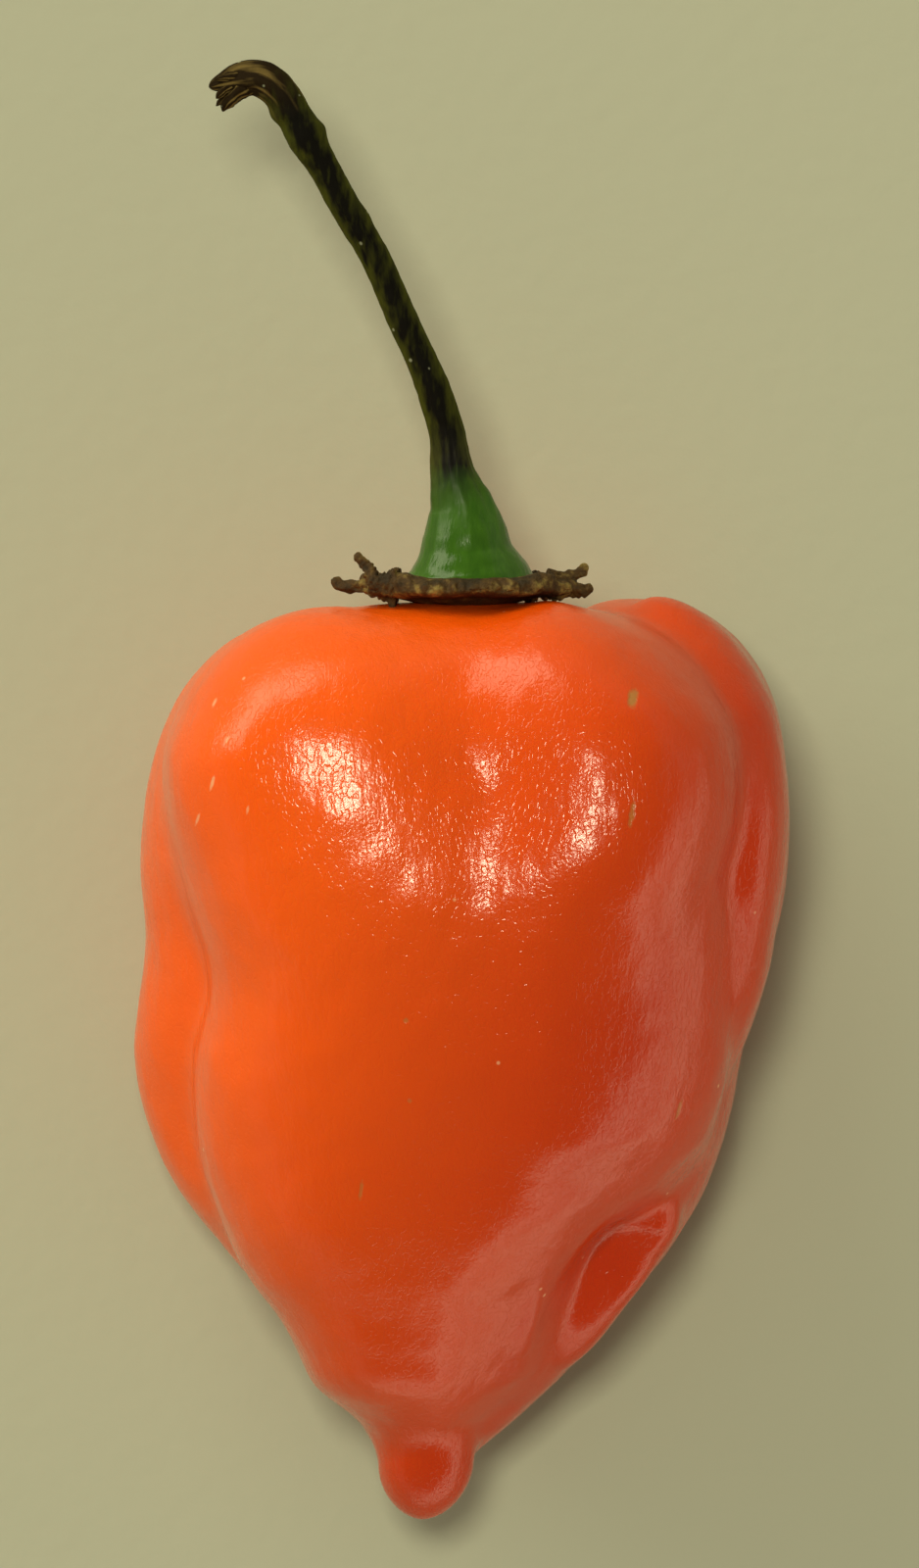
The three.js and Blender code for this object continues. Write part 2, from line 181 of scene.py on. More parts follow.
def swell_of(layers: Sequence[Waves], points: Array) -> Array:
    """Summed height of several swells at each point, mm."""
    return sum(waves.at(points) for waves in layers)


# ---------------------------------------------------------------- meshes
@dataclass
class Shell:
    """A closed surface: points, quads and triangles, and numbers that its finish reads at each point."""

    points: Array
    quads: Array
    tris: Array
    marks: dict[str, Array] = field(default_factory=dict)


def closed_rings(first: Array, rings: Array, last: Array, marks: dict[str, Array] | None = None) -> Shell:
    """Closes a grid of rings with a point at each end, wound so that its faces look outwards.

    Args:
        first: End point before the first ring.
        rings: Array of ring, place round it, and coordinate.
        last: End point after the last ring.
        marks: Numbers on the same grid; an end point takes the mean of its nearest ring.

    Returns:
        The closed surface.
    """
    rows, count = rings.shape[:2]
    points = np.vstack([first[None], rings.reshape(-1, 3), last[None]])
    ids = 1 + np.arange(rows * count).reshape(rows, count)
    turned = np.roll(ids, -1, axis=1)
    quads = np.stack([ids[:-1], turned[:-1], turned[1:], ids[1:]], -1).reshape(-1, 4)
    start = np.stack([np.zeros(count, int), turned[0], ids[0]], -1)
    end = np.stack([np.full(count, len(points) - 1), ids[-1], turned[-1]], -1)
    spread = {
        name: np.concatenate([[grid[0].mean()], grid.ravel(), [grid[-1].mean()]])
        for name, grid in (marks or {}).items()
    }
    return Shell(points, quads, np.vstack([start, end]), spread)


def write_mesh(name: str, shells: Sequence[Shell]) -> bpy.types.Object:
    """Joins closed surfaces into one smooth object at the origin, in metres in the row's frame.

    Args:
        name: Name of the piece.
        shells: Surfaces in the pod's frame, mm. All have the marks of the first, which are written.

    Returns:
        The new object, linked to the scene.
    """
    offsets = np.cumsum([0] + [len(s.points) for s in shells[:-1]])
    points = (np.vstack([s.points for s in shells]) - PART_MIDDLE) * MM
    quads = np.vstack([s.quads + o for s, o in zip(shells, offsets)])
    tris = np.vstack([s.tris + o for s, o in zip(shells, offsets)])
    mesh = bpy.data.meshes.new(name)
    mesh.vertices.add(len(points))
    mesh.vertices.foreach_set("co", points.astype(np.float32).ravel())
    mesh.loops.add(quads.size + tris.size)
    mesh.loops.foreach_set("vertex_index", np.concatenate([quads.ravel(), tris.ravel()]).astype(np.int32))
    mesh.polygons.add(len(quads) + len(tris))
    sizes = np.concatenate([np.full(len(quads), 4), np.full(len(tris), 3)])
    starts = np.concatenate([[0], np.cumsum(sizes)[:-1]])
    mesh.polygons.foreach_set("loop_start", starts.astype(np.int32))
    mesh.polygons.foreach_set("loop_total", sizes.astype(np.int32))
    mesh.polygons.foreach_set("use_smooth", np.ones(len(sizes), bool))
    mesh.update(calc_edges=True)
    mesh.validate()
    for mark in shells[0].marks:
        values = np.concatenate([s.marks[mark] for s in shells])
        layer = mesh.attributes.new(mark, "FLOAT", "POINT")
        layer.data.foreach_set("value", values.astype(np.float32))
    piece = bpy.data.objects.new(name, mesh)
    bpy.context.scene.collection.objects.link(piece)
    return piece


def sweep(
    stations: Array,
    count: int,
    steps: int,
    relief: Callable[[Array, Array, Array], Array] | None = None,
    dome: float = 0.0,
) -> Shell:
    """Carries an ellipse along a smooth path: centre + side w cos(a) r - top d sin(a) r.

    Args:
        stations: X, Y, Z, half width and half depth along the path, mm.
        count: Points round each ring.
        steps: Rings along the path.
        relief: Gives r, the share of the ellipse's size, from the share along the path, the angle
            and the points of the plain ellipse.
        dome: Share of the path at its end that closes in a rounded cap.

    Returns:
        The closed surface, marked with share along, and how far each point faces up and sideways.
    """
    chords = np.linalg.norm(np.diff(stations[:, :3], axis=0), axis=1)
    keys = np.concatenate([[0], np.cumsum(chords)])
    along = np.linspace(0, 1, steps + 1)
    reading = hermite(np.column_stack([keys, stations]), along * keys[-1])
    centres, w, d = reading[:, :3], reading[:, 3], reading[:, 4]
    tangents = np.gradient(centres, axis=0)
    tangents /= np.linalg.norm(tangents, axis=1, keepdims=True)
    side = np.cross(tangents, [0.0, 0.0, 1.0])
    side /= np.linalg.norm(side, axis=1, keepdims=True)
    top = np.cross(side, tangents)
    closing = cap((along - 1 + dome) / dome, 2.0) if dome > 0 else np.ones_like(along)
    closing = np.maximum(closing, THINNEST)
    a = np.arange(count) * 2 * math.pi / count
    arm = (
        side[:, None] * (w * closing)[:, None, None] * np.cos(a)[None, :, None]
        - top[:, None] * (d * closing)[:, None, None] * np.sin(a)[None, :, None]
    )
    share = np.broadcast_to(along[:, None], arm.shape[:2])
    angle = np.broadcast_to(a[None], arm.shape[:2])
    if relief is not None:
        arm = arm * relief(share, angle, centres[:, None] + arm)[..., None]
    rings = centres[:, None] + arm
    marks = {"along": share, "crest": -np.sin(angle), "flank": np.cos(angle)}
    return closed_rings(centres[0], rings, centres[-1], marks)


# ---------------------------------------------------------------- the pod
@dataclass(frozen=True)
class Lobe:
    """A swelling of the pod: ellipses stacked along Y with a rounded cap at each end.

    foot and head are (Y of the end, length of its cap, roundness of its cap). blend is the width of the
    soft seam to its neighbours. square is 2 for an ellipse and more for a squarer section. rows are
    (Y, centre X, centre Z, half width, half height).
    """

    foot: tuple[float, float, float]
    head: tuple[float, float, float]
    blend: float
    square: float
    rows: tuple[Row, ...]

    def table(self) -> tuple[Array, Array]:
        """Finely spaced stations with the caps worked in.

        Returns:
            The Y of each station, and its centre X, centre Z, half width and half height.
        """
        keys = np.linspace(self.foot[0], self.head[0], TABLE_ROWS)
        values = hermite(np.array(self.rows), keys)
        (y0, c0, n0), (y1, c1, n1) = self.foot, self.head
        values[:, 2:] *= (cap((y0 + c0 - keys) / c0, n0) * cap((keys - y1 + c1) / c1, n1))[:, None]
        values[:, 2:] = np.maximum(values[:, 2:], LEAST_RADIUS)
        return keys, values


@dataclass(frozen=True)
class Hollow:
    """A soft press into the skin, or a swell if its depth is below 0: depth exp(-(distance / size)^2).

    size is its reach along its own three axes, mm, which are turned about Z by turn, in degrees.
    """

    at: tuple[float, float, float]
    size: tuple[float, float, float]
    turn: float
    depth: float

    def press(self, p: Array) -> Array:
        """How far the skin sinks at each point.

        Args:
            p: Positions in mm, any shape ending in 3.

        Returns:
            The sink in mm, below 0 in a swell.
        """
        c, s = math.cos(math.radians(self.turn)), math.sin(math.radians(self.turn))
        dx, dy, dz = p[..., 0] - self.at[0], p[..., 1] - self.at[1], p[..., 2] - self.at[2]
        u, v, w = (dx * c + dy * s) / self.size[0], (dy * c - dx * s) / self.size[1], dz / self.size[2]
        return self.depth * np.exp(-(u * u + v * v + w * w))


@dataclass
class Pod:
    """The lobed fruit: blended lobes, pressed by hollows, found along rays from a line inside it."""

    rings: int = 300
    around: int = 312
    fan: float = 0.3  # share of the rings that goes to each rounded end
    stride: float = 0.7  # mm, step of the search along a ray
    strides: int = 50  # most steps on a ray
    halvings: int = 14  # which close in on the skin within the last step
    crown_base: float = 38.0  # mm, a Y inside the pod, well under its crown
    swells: tuple[Waves, ...] = (Waves(0.05, 5.5, 3), Waves(0.02, 2.2, 4))
    core: tuple[Row, ...] = ((-2.2, 6.0, 9.8), (-0.8, 20.0, 13.6), (0.2, 36.0, 15.6))  # line inside the pod
    lobes: tuple[Lobe, ...] = (
        # broad upper body, running down as the ridge to the tip
        Lobe((2.0, 3.0, 2.0), (49.7, 9.4, 2.8), 0.0, 2.25, (
            (2.0, -2.0, 8.9, 2.8, 3.2), (5.0, -2.3, 9.6, 2.8, 4.9), (7.2, -3.5, 10.6, 4.25, 7.5),
            (9.4, -4.1, 11.6, 4.75, 8.1), (11.2, -4.15, 12.2, 5.75, 8.6), (13.2, -4.2, 12.9, 7.2, 9.3),
            (16.0, -4.0, 13.8, 8.8, 10.1), (20.0, -2.6, 14.7, 11.5, 10.9), (25.0, -1.2, 15.6, 13.2, 12.0),
            (30.0, -0.3, 16.2, 13.0, 12.2), (35.0, 0.0, 16.4, 14.6, 12.2), (42.0, 0.0, 16.2, 15.2, 11.8),
            (49.5, 0.2, 16.0, 14.6, 10.8))),
        # upper left shoulder
        Lobe((20.0, 14.0, 2.0), (49.4, 7.6, 2.1), 3.2, 2.4, (
            (20.0, -3.0, 17.2, 8.0, 8.3), (28.0, -3.2, 19.2, 9.0, 8.5), (34.0, -4.4, 20.5, 9.2, 8.6),
            (38.0, -6.0, 20.8, 9.0, 8.6), (41.0, -7.2, 20.8, 8.2, 8.5), (44.0, -7.4, 20.6, 7.0, 8.4),
            (47.0, -7.1, 20.0, 6.8, 8.4), (49.4, -6.7, 19.4, 6.8, 8.3))),
        # upper right shoulder, which runs across to the ridge
        Lobe((22.0, 12.0, 2.0), (49.7, 8.5, 2.1), 2.4, 2.0, (
            (22.0, 2.8, 18.0, 8.0, 8.6), (27.0, 3.6, 19.0, 7.8, 8.7), (31.0, 4.6, 20.2, 7.4, 8.5),
            (35.0, 6.4, 21.6, 7.2, 8.2), (39.0, 7.4, 21.6, 7.4, 8.2), (43.0, 7.0, 21.2, 7.2, 8.1),
            (46.5, 5.6, 20.6, 6.4, 8.0), (49.7, 4.6, 19.8, 6.0, 7.8))),
        # swelling low on the right, above the shelf
        Lobe((3.0, 5.0, 2.0), (40.0, 9.0, 2.0), 2.0, 1.7, (
            (3.0, -1.8, 8.6, 2.4, 3.4), (6.0, -1.5, 9.6, 4.4, 6.0), (9.0, -1.3, 11.0, 6.2, 7.4),
            (12.1, -0.6, 12.2, 6.9, 8.6), (15.3, 1.1, 13.7, 7.6, 9.6), (18.5, 2.8, 15.0, 8.9, 10.0),
            (21.0, 4.0, 16.2, 9.4, 10.2), (25.0, 4.4, 17.4, 10.0, 10.2), (30.0, 4.6, 18.2, 10.3, 9.9),
            (35.0, 4.8, 18.5, 10.2, 9.6), (40.0, 5.0, 18.5, 9.6, 9.4))),
        # lower right lobe, which stands proud of the shoulder above it
        Lobe((12.0, 12.0, 2.0), (49.9, 8.0, 2.3), 1.3, 2.0, (
            (12.0, 7.1, 8.5, 6.0, 8.0), (20.0, 8.4, 9.2, 6.0, 9.7), (27.0, 9.3, 9.6, 6.3, 9.5),
            (33.0, 10.6, 9.8, 6.8, 9.6), (38.0, 11.0, 9.9, 6.8, 9.85), (43.0, 10.6, 10.2, 6.8, 10.15),
            (49.9, 9.6, 10.6, 6.7, 9.9))),
        # fold along the top of that lobe
        Lobe((23.0, 7.0, 2.0), (50.0, 7.0, 2.1), 1.0, 2.0, (
            (23.0, 12.9, 13.4, 2.2, 3.5), (28.0, 13.9, 15.2, 2.3, 4.4), (32.0, 14.6, 15.9, 2.4, 4.5),
            (38.0, 15.05, 17.0, 2.65, 4.8), (43.0, 14.3, 16.3, 2.9, 4.6), (46.0, 13.0, 15.2, 3.2, 4.4),
            (50.0, 10.6, 14.2, 3.7, 4.2))),
        # lower left lobe, the waisted flank
        Lobe((10.2, 9.0, 2.0), (48.7, 10.4, 2.3), 0.9, 2.0, (
            (10.2, -6.6, 7.4, 5.6, 6.8), (14.5, -7.4, 7.3, 6.2, 6.8), (18.0, -8.5, 7.4, 7.0, 7.0),
            (21.5, -9.3, 7.8, 7.7, 7.4), (25.5, -9.6, 8.5, 8.1, 8.5), (31.0, -9.4, 9.5, 7.7, 9.9),
            (36.0, -9.4, 10.6, 7.9, 10.9), (42.0, -9.0, 11.0, 7.75, 11.4), (48.7, -8.4, 11.2, 7.5, 11.3))),
        # belly between the two lower lobes
        Lobe((6.0, 9.0, 2.0), (48.4, 9.0, 2.2), 3.0, 2.0, (
            (6.0, -1.0, 8.8, 6.0, 6.2), (14.0, 0.0, 8.8, 9.0, 7.0), (24.0, 1.0, 9.6, 10.0, 7.8),
            (34.0, 1.0, 10.4, 11.0, 8.4), (48.4, 1.0, 11.4, 10.0, 9.0))),
        # narrow lobe low on the right
        Lobe((2.8, 9.0, 2.0), (27.0, 11.0, 2.0), 1.2, 2.2, (
            (2.8, -1.1, 8.4, 3.3, 3.6), (7.0, 0.7, 8.4, 4.8, 4.8), (11.0, 3.1, 8.6, 5.0, 5.8),
            (15.0, 5.2, 9.0, 5.5, 6.6), (20.0, 7.4, 9.6, 6.0, 8.0), (27.0, 8.0, 10.6, 6.2, 9.0))),
        # level shelf on top of it, with a tight edge
        Lobe((8.0, 4.0, 2.0), (18.4, 3.6, 2.0), 0.9, 2.6, (
            (8.0, 4.7, 10.2, 2.5, 2.2), (11.0, 5.85, 11.6, 2.85, 2.3), (13.7, 7.4, 12.5, 3.15, 2.3),
            (16.0, 8.9, 13.1, 3.1, 2.4), (18.4, 10.0, 13.7, 2.7, 2.4))),
        # knob at the tip
        Lobe((0.0, 3.0, 1.8), (7.5, 3.5, 2.0), 0.7, 2.0, (
            (0.0, -2.05, 10.0, 2.55, 2.9), (3.2, -1.85, 10.4, 2.6, 3.0), (7.5, -1.6, 11.4, 2.8, 3.4))),
    )
    hollows: tuple[Hollow, ...] = (
        Hollow((8.0, 15.2, 15.5), (2.2, 1.9, 3.2), 0, 1.3),
        Hollow((6.9, 12.6, 14.5), (1.6, 2.6, 3.2), -10, 0.8),
        Hollow((7.4, 13.2, 14.4), (0.5, 1.9, 3.0), -17, -0.35),
        Hollow((10.3, 15.6, 14.6), (0.7, 1.5, 3.0), -40, -0.3),
        Hollow((4.0, 11.0, 17.5), (0.7, 3.6, 5.0), -14, -0.4),
        Hollow((0.2, 51.1, 17.5), (5.5, 2.6, 5.5), 0, 1.0),
        Hollow((-1.6, 50.4, 25.0), (3.6, 2.2, 3.2), 0, 0.4),
    )

    def field(self, p: Array) -> Array:
        """Signed size of the step from each point to the skin, below 0 inside.

        A lobe's own field is (radius in units of its ellipse - 1) sqrt(half width x half height).

        Args:
            p: Positions in mm, any shape ending in 3.

        Returns:
            The field at each point.
        """
        total = None
        for lobe, (keys, values) in zip(self.lobes, self.tables):
            y = np.clip(p[..., 1], keys[0], keys[-1])
            cx, cz, rx, rz = (np.interp(y, keys, values[:, i]) for i in range(4))
            across, up = np.abs(p[..., 0] - cx) / rx, np.abs(p[..., 2] - cz) / rz
            radius = (across**lobe.square + up**lobe.square) ** (1 / lobe.square)
            own = (radius - 1) * np.sqrt(rx * rz) + np.abs(p[..., 1] - y)
            total = own if total is None else smooth_min(total, own, lobe.blend)
        for hollow in self.hollows:
            total = total + hollow.press(p)
        return total

    @cached_property
    def tables(self) -> list[tuple[Array, Array]]:
        """Stations of every lobe, worked out once."""
        return [lobe.table() for lobe in self.lobes]

    def skin(self, origins: Array, directions: Array) -> Array:
        """Points where rays from inside first meet the skin, by even steps and then by halving.

        Args:
            origins: Start of each ray.
            directions: Unit direction of each ray.

        Returns:
            The points on the skin.
        """
        reach = np.full(origins.shape[:-1], self.stride)
        for _ in range(self.strides):
            inside = self.field(origins + directions * reach[..., None]) < 0
            if not inside.any():
                break
            reach = reach + self.stride * inside
        near, far = reach - self.stride, reach
        for _ in range(self.halvings):
            half = 0.5 * (near + far)
            inside = self.field(origins + directions * half[..., None]) < 0
            near, far = np.where(inside, half, near), np.where(inside, far, half)
        return origins + directions * (0.5 * (near + far))[..., None]

    def core_at(self, share: Array) -> Array:
        """Points of the line inside the pod, at shares of its length."""
        stations = np.array(self.core)
        return hermite(np.column_stack([np.linspace(0, 1, len(stations)), stations]), share)

    def crown_height(self, x: Array, z: Array) -> Array:
        """Y of the skin on the crown above each (x, z)."""
        origins = np.stack([x, np.full_like(x, self.crown_base), z], -1)
        return self.skin(origins, np.broadcast_to([0.0, 1.0, 0.0], origins.shape))[..., 1]

    def build(self) -> bpy.types.Object:
        """Makes the pod's mesh.

        Rays leave the core line level, and fan out to a pole at each end. Each skin point then moves
        by a faint swell, and the belly flattens where it lies.

        Returns:
            The pod.
        """
        u = np.arange(1, self.rings) / self.rings
        share = np.clip((u - self.fan) / (1 - 2 * self.fan), 0, 1)
        rise = np.clip((self.fan - u) / self.fan, 0, 1) - np.clip((u - 1 + self.fan) / self.fan, 0, 1)
        lift = -rise[:, None] * math.pi / 2
        level = np.cos(lift)
        a = (np.arange(self.around) * 2 * math.pi / self.around)[None]
        directions = np.stack(np.broadcast_arrays(level * np.cos(a), np.sin(lift), -level * np.sin(a)), -1)
        origins = np.broadcast_to(self.core_at(share)[:, None], directions.shape)
        rings = self.skin(origins, directions)
        ends = self.core_at(np.array([0.0, 1.0]))
        poles = self.skin(ends, np.array([[0.0, -1.0, 0.0], [0.0, 1.0, 0.0]]))
        calm = np.sin(np.pi * u)[:, None] ** 0.5  # fades the swell out at the poles
        rings = rings + directions * (swell_of(self.swells, rings) * calm)[..., None]
        rings[..., 2] = np.maximum(rings[..., 2], REST_CUT)
        return write_mesh("pod_skin", [closed_rings(poles[0], rings, poles[1])])


# ---------------------------------------------------------------- the calyx
@dataclass(frozen=True)
class Tooth:
    """A dried calyx tooth: path in the crown's frame (across, up the crown, out along the stalk), mm,
    each point with its half width and half thickness."""

    path: tuple[Row, ...]


@dataclass
class Calyx:
    """The dried frill on the crown: a cushion with a crinkled, rolled rim and curled teeth."""

    pod: Pod
    centre: Row = (0.2, 49.55, 17.5)
    tilt: float = 1.5  # degrees that the crown faces up
    rim: float = 5.2  # mm, radius of the frill between its teeth
    seat: float = 1.4  # mm, height of the cushion under the stalk
    perch: float = 0.9  # mm, height of the rim's middle over the centre
    half: float = 0.5  # mm, half thickness of the rolled rim
    sink: float = 0.15  # mm that the underside reaches into the crown
    bedded: float = 0.35  # share of the radius that lies on the crown; by twice that it is free of it
    rolled: float = 0.55  # share of the radius past which the section rolls up into the rim
    outward: float = 0.45  # power of the sine that runs out to the rim, low for a blunt edge
    upward: float = 0.62  # power of the cosine that runs over the rim
    wear_and_highlight: int = 8  # power that keeps the pale edge, partly worn tissue and partly a painted highlight, to the very edge
    loop: float = 5.0  # mm, radius of the circle on which the swells round the rim are read
    rim_swells: tuple[Waves, ...] = (Waves(0.12, 2.2, 11), Waves(0.05, 0.7, 12))
    perch_swell: Waves = Waves(0.16, 3.4, 13)
    crinkle: Waves = Waves(0.1, 0.55, 14)
    grain: tuple[Waves, ...] = (Waves(0.0585, 0.5, 15), Waves(0.104, 1.3, 16))
    top_swells: tuple[Waves, ...] = (Waves(0.09, 0.55, 17), Waves(0.13, 1.6, 18))
    # degrees round the crown, reach beyond the rim, half angle, lift of its top, drop of its underside
    folds: tuple[Row, ...] = (
        (4, 0.9, 15, 0.2, 0.0), (35, 0.5, 13, 0.5, 0.1), (62, 0.05, 12, 0.15, 0.0),
        (140, 0.1, 13, 0.75, 0.15), (100, -0.1, 9, 0.2, 0.0), (172, 0.35, 13, 0.1, 0.0),
        (215, 0.9, 15, 0.3, 0.1), (262, 0.7, 18, 0.4, 0.1), (310, 0.9, 16, 0.3, 0.0),
    )
    teeth: tuple[Tooth, ...] = (
        Tooth(((-3.6, 2.2, 0.9, 0.9, 0.3), (-4.7, 1.6, 0.95, 0.56, 0.24), (-5.8, 1.1, 0.92, 0.34, 0.2),
               (-6.6, 0.9, 1.02, 0.34, 0.2), (-7.15, 0.8, 1.3, 0.3, 0.16))),
        Tooth(((-3.7, 3.1, 1.0, 0.7, 0.34), (-4.5, 3.0, 1.2, 0.55, 0.24), (-5.2, 2.6, 1.9, 0.34, 0.18),
               (-5.6, 2.4, 2.5, 0.26, 0.16), (-5.75, 2.3, 2.8, 0.3, 0.15))),
        Tooth(((4.4, 1.4, 1.0, 0.8, 0.34), (5.4, 1.0, 0.92, 0.6, 0.28), (6.3, 0.8, 0.82, 0.42, 0.22),
               (6.95, 0.7, 0.8, 0.26, 0.18))),
        Tooth(((4.6, 0.4, 1.2, 0.6, 0.3), (5.6, 0.1, 1.4, 0.34, 0.2), (6.3, 0.0, 1.75, 0.26, 0.16),
               (6.6, 0.0, 2.15, 0.22, 0.13))),
        Tooth(((-3.6, -2.9, 0.9, 0.9, 0.35), (-4.8, -3.7, 1.0, 0.6, 0.26), (-5.6, -4.3, 1.4, 0.3, 0.2))),
        Tooth(((-0.6, -4.6, 0.8, 1.0, 0.35), (-0.9, -5.9, 1.0, 0.6, 0.26), (-1.1, -6.7, 1.6, 0.3, 0.2))),
        Tooth(((3.4, -3.4, 0.8, 0.9, 0.35), (4.5, -4.5, 0.9, 0.6, 0.26), (5.0, -5.1, 1.3, 0.3, 0.2))),
    )

    def place(self, across: Array, up: Array, out: Array) -> Array:
        """Points of the pod's frame from distances in the crown's frame.

        Args:
            across: Distance to the right on the crown, mm.
            up: Distance up its face, mm.
            out: Distance out of it, mm.

        Returns:
            The points.
        """
        t = math.radians(self.tilt)
        x = self.centre[0] + across
        y = self.centre[1] - up * math.sin(t) + out * math.cos(t)
        z = self.centre[2] + up * math.cos(t) + out * math.sin(t)
        return np.stack([x, y, z], -1)

    def cushion(self, count: int = 420, steps: int = 64) -> Shell:
        """The frill's body: at each angle a flat lens that swells to a rolled rim, then crinkled.

        The section runs from the middle of the underside out to the rim and back over the top.

        Args:
            count: Points round it.
            steps: Points on each face from the middle to the rim.

        Returns:
            The closed surface.
        """
        angle = -np.arange(count) * 2 * math.pi / count
        reach, lift, drop = np.zeros(count), np.zeros(count), np.zeros(count)
        for at, out, spread, up, down in self.folds:
            off = (np.degrees(angle) - at + 900) % 360 - 180
            share = np.exp(-((off / spread) ** 2))
            reach, lift, drop = reach + out * share, lift + up * share, drop + down * share
        ring = np.stack([np.cos(angle), np.sin(angle), np.zeros(count)], -1)
        circle = ring * self.loop
        rim = self.rim + reach + swell_of(self.rim_swells, circle)
        turn = np.linspace(0, math.pi, 2 * steps)[1:-1, None]  # 0 under the middle, half way at the rim
        out = np.sin(turn) ** self.outward
        over = (turn > math.pi / 2) * 1.0
        roll = np.clip((out - self.rolled) / (1 - self.rolled), 0, 1) ** 1.5
        radius = out * rim[None]
        middle = self.perch + self.perch_swell.at(circle)[None]
        side = np.sign(np.cos(turn)) * -np.abs(np.cos(turn)) ** self.upward
        top = self.seat * (1 - roll) + (middle + (self.half + lift[None]) * side) * roll
        low = middle + (self.half + drop[None]) * side
        height = np.where(over > 0, top, low)
        flat = self.place(radius * np.cos(angle), radius * np.sin(angle), height)
        push = (self.crinkle.at(circle)[None] + swell_of(self.grain, flat)) * roll
        flat = flat + push[..., None] * np.stack([np.cos(angle), np.zeros(count), np.sin(angle)], -1)[None]
        flat[..., 1] += swell_of(self.top_swells, flat) * roll * over
        crown = self.pod.crown_height(flat[..., 0], flat[..., 2]) - self.sink
        free = np.clip((out - self.bedded) / self.bedded, 0, 1)
        under = np.maximum(flat[..., 1], crown) * free + crown * (1 - free)
        flat[..., 1] = np.where(over > 0, flat[..., 1], under)
        # pale edge of the rolled rim: partly worn tissue, partly a painted highlight
        edge = np.broadcast_to(roll, flat.shape[:2]) * np.abs(np.sin(turn)) ** self.wear_and_highlight
        zero = np.zeros(1)
        bottom, summit = self.place(zero, zero, zero)[0], self.place(zero, zero, zero + self.seat)[0]
        bottom[1] = self.pod.crown_height(bottom[None, 0], bottom[None, 2])[0] - self.sink
        return closed_rings(bottom, flat, summit, {"along": edge})

    def blade(self, tooth: Tooth, seed: int) -> Shell:
        """One curled tooth: a flat tapering sweep with crinkled skin.

        Args:
            tooth: Its path.
            seed: Picks its folds.

        Returns:
            The closed surface.
        """
        rows = np.array(tooth.path)
        path = self.place(rows[:, 0], rows[:, 1], rows[:, 2])

        def crinkled(share: Array, angle: Array, points: Array) -> Array:
            """Share of the section's size: 1 plus short random folds."""
            return 1 + 0.26 * ripple(points, 0.9, seed) + 0.22 * ripple(points, 0.35, seed + 50)

        return sweep(np.column_stack([path, rows[:, 3:]]), count=40, steps=60, relief=crinkled, dome=0.12)

    def build(self) -> bpy.types.Object:
        """Makes the frill, cushion and teeth as one piece.

        Returns:
            The calyx.
        """
        blades = [self.blade(tooth, 100 + i) for i, tooth in enumerate(self.teeth)]
        return write_mesh("calyx_frill", [self.cushion(), *blades])


